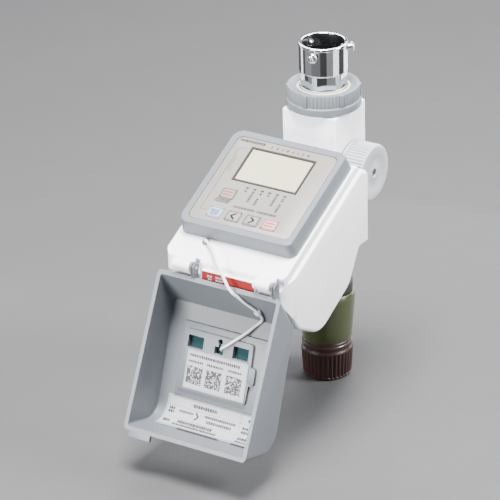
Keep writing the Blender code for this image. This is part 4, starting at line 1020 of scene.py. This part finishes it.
def solar_face():
    """The cell's thin silver fingers and its two busbars, on the lid's outer side."""
    lines = [(x * 2.0 - 24.0, x * 2.0 - 23.9, 12.6, 48.9) for x in range(25)]
    lines += [(-24.6, 24.6, along, along + 0.6) for along in (22.0, 38.6)]
    ink("solar_fingers", lines, -2.13, -2.08, "cell_silver", "lid", "solar_cell",
        lambda x, along, height: (x, *lid_point(along, height)), LID)


def smooth_route(route, steps):
    """Points on a smooth curve (Catmull-Rom) through the route's own points."""
    knots = [Vector(p) for p in route]
    knots = [2 * knots[0] - knots[1]] + knots + [2 * knots[-1] - knots[-2]]
    points = []
    for a, b, c, d in zip(knots, knots[1:], knots[2:], knots[3:]):
        for k in range(steps):
            u = k / steps
            points.append(0.5 * (2 * b + (c - a) * u + (2 * a - 5 * b + 4 * c - d) * u * u
                                 + (3 * b - a - 3 * c + d) * u ** 3))
    return points + [knots[-2]]


def tube_rings(points, radius, segments=20):
    """Rings round a path, turned from each to the next without twisting."""
    side = Vector((1, 0, 0))
    rings = []
    for i, point in enumerate(points):
        ahead = (points[min(i + 1, len(points) - 1)] - points[max(i - 1, 0)]).normalized()
        side = (side - ahead * side.dot(ahead)).normalized()
        up = ahead.cross(side)
        turns = [2 * math.pi * k / segments for k in range(segments)]
        rings.append([point + (side * math.cos(a) + up * math.sin(a)) * radius for a in turns])
    return rings


def cable():
    """The lead from the deck's gland over the lid's rim and through the clip to the keyhole.

    It crosses the hinge between the route's points LEAVE and ENTER. That stretch is parted at its
    crest: the half before it rides on the housing, the half after it on the lid.
    """
    steps = 6
    rings = tube_rings(smooth_route(CABLE_ROUTE, steps), CABLE_R)
    spans = {"cable_on_deck": (0, LEAVE, "housing"), "cable_over_nose": (LEAVE, CREST, "housing"),
             "cable_over_rim": (CREST, ENTER, "lid"),
             "cable_in_lid": (ENTER, len(CABLE_ROUTE) - 1, "lid")}
    folds = {"cable_over_nose": LEAVE, "cable_over_rim": ENTER}
    for name, (first, last, body) in spans.items():
        bm = bmesh.new()
        loops = [[bm.verts.new(p) for p in ring] for ring in rings[first * steps:last * steps + 1]]
        for a, b in zip(loops, loops[1:]):
            for i in range(len(a)):
                j = (i + 1) % len(a)
                bm.faces.new((a[i], a[j], b[j], b[i]))
        bm.faces.new(loops[0][::-1])
        bm.faces.new(loops[-1])
        piece = dress(solid(bm), name, body, "lead_white",
                      ["lid_cable"] if name == "cable_on_deck" else (), sharp=60)
        if name in folds:
            anchor = Vector(CABLE_ROUTE[folds[name]])
            run = anchor - Vector(CABLE_ROUTE[CREST])
            run.x = 0
            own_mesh(piece)
    shape = turned([(1.15, -0.9), (1.3, -1.05), (1.75, -1.05), (1.9, -0.9), (1.9, 0.9), (1.75, 1.05),
                    (1.3, 1.05), (1.15, 0.9)], 48)
    turn = Vector(CLIP_ALONG).to_track_quat("Z", "Y").to_matrix()
    bmesh.ops.rotate(shape, cent=(0, 0, 0), matrix=turn, verts=shape.verts)
    clip = solid(shape, at=CLIP_AT)
    wall = inset(LID_CORNERS, LID_WALL + 0.3)
    behind = [wall[0][:2], wall[1][:2], (-5.0, wall[1][1]), (-5.0, wall[0][1])]
    cut(clip, solid(prism(behind, 10, 30, "X"), LID))
    dress(clip, "cable_clip_fine", "lid", "lead_white", ["cable_clip"])
    gland = [(1.1, -11.9), (1.6, -11.9), (1.6, -9.3), (2.2, -9.3), (2.15, -9.0), (1.9, -8.6),
             (1.6, -8.35), (1.1, -8.3)]
    dress(solid(turned(gland, 40), PANEL, (*GLAND_AT, 0)), "cable_gland_fine", "housing",
          "trim_grey", ["cable_gland"])


def carried_over():
    """Gives every CAD node that still shows the procedural finish of its slot."""
    slots = {row["node"]: row["material_slot"] for row in frame["record"]["subparts"]}
    for name, node in frame["nodes"].items():
        node.data.materials.clear()
        node.data.materials.append(FINISH[slots[name]])
        for face in node.data.polygons:
            face.material_index = 0


FINISH = finishes()
camera()
inlet()
union()
column()
knob()
hose_end()
head()
bezel()
faceplate()
panel_print()
keys()
red_label()
lid()
labels()
solar_face()
cable()
carried_over()
studio()
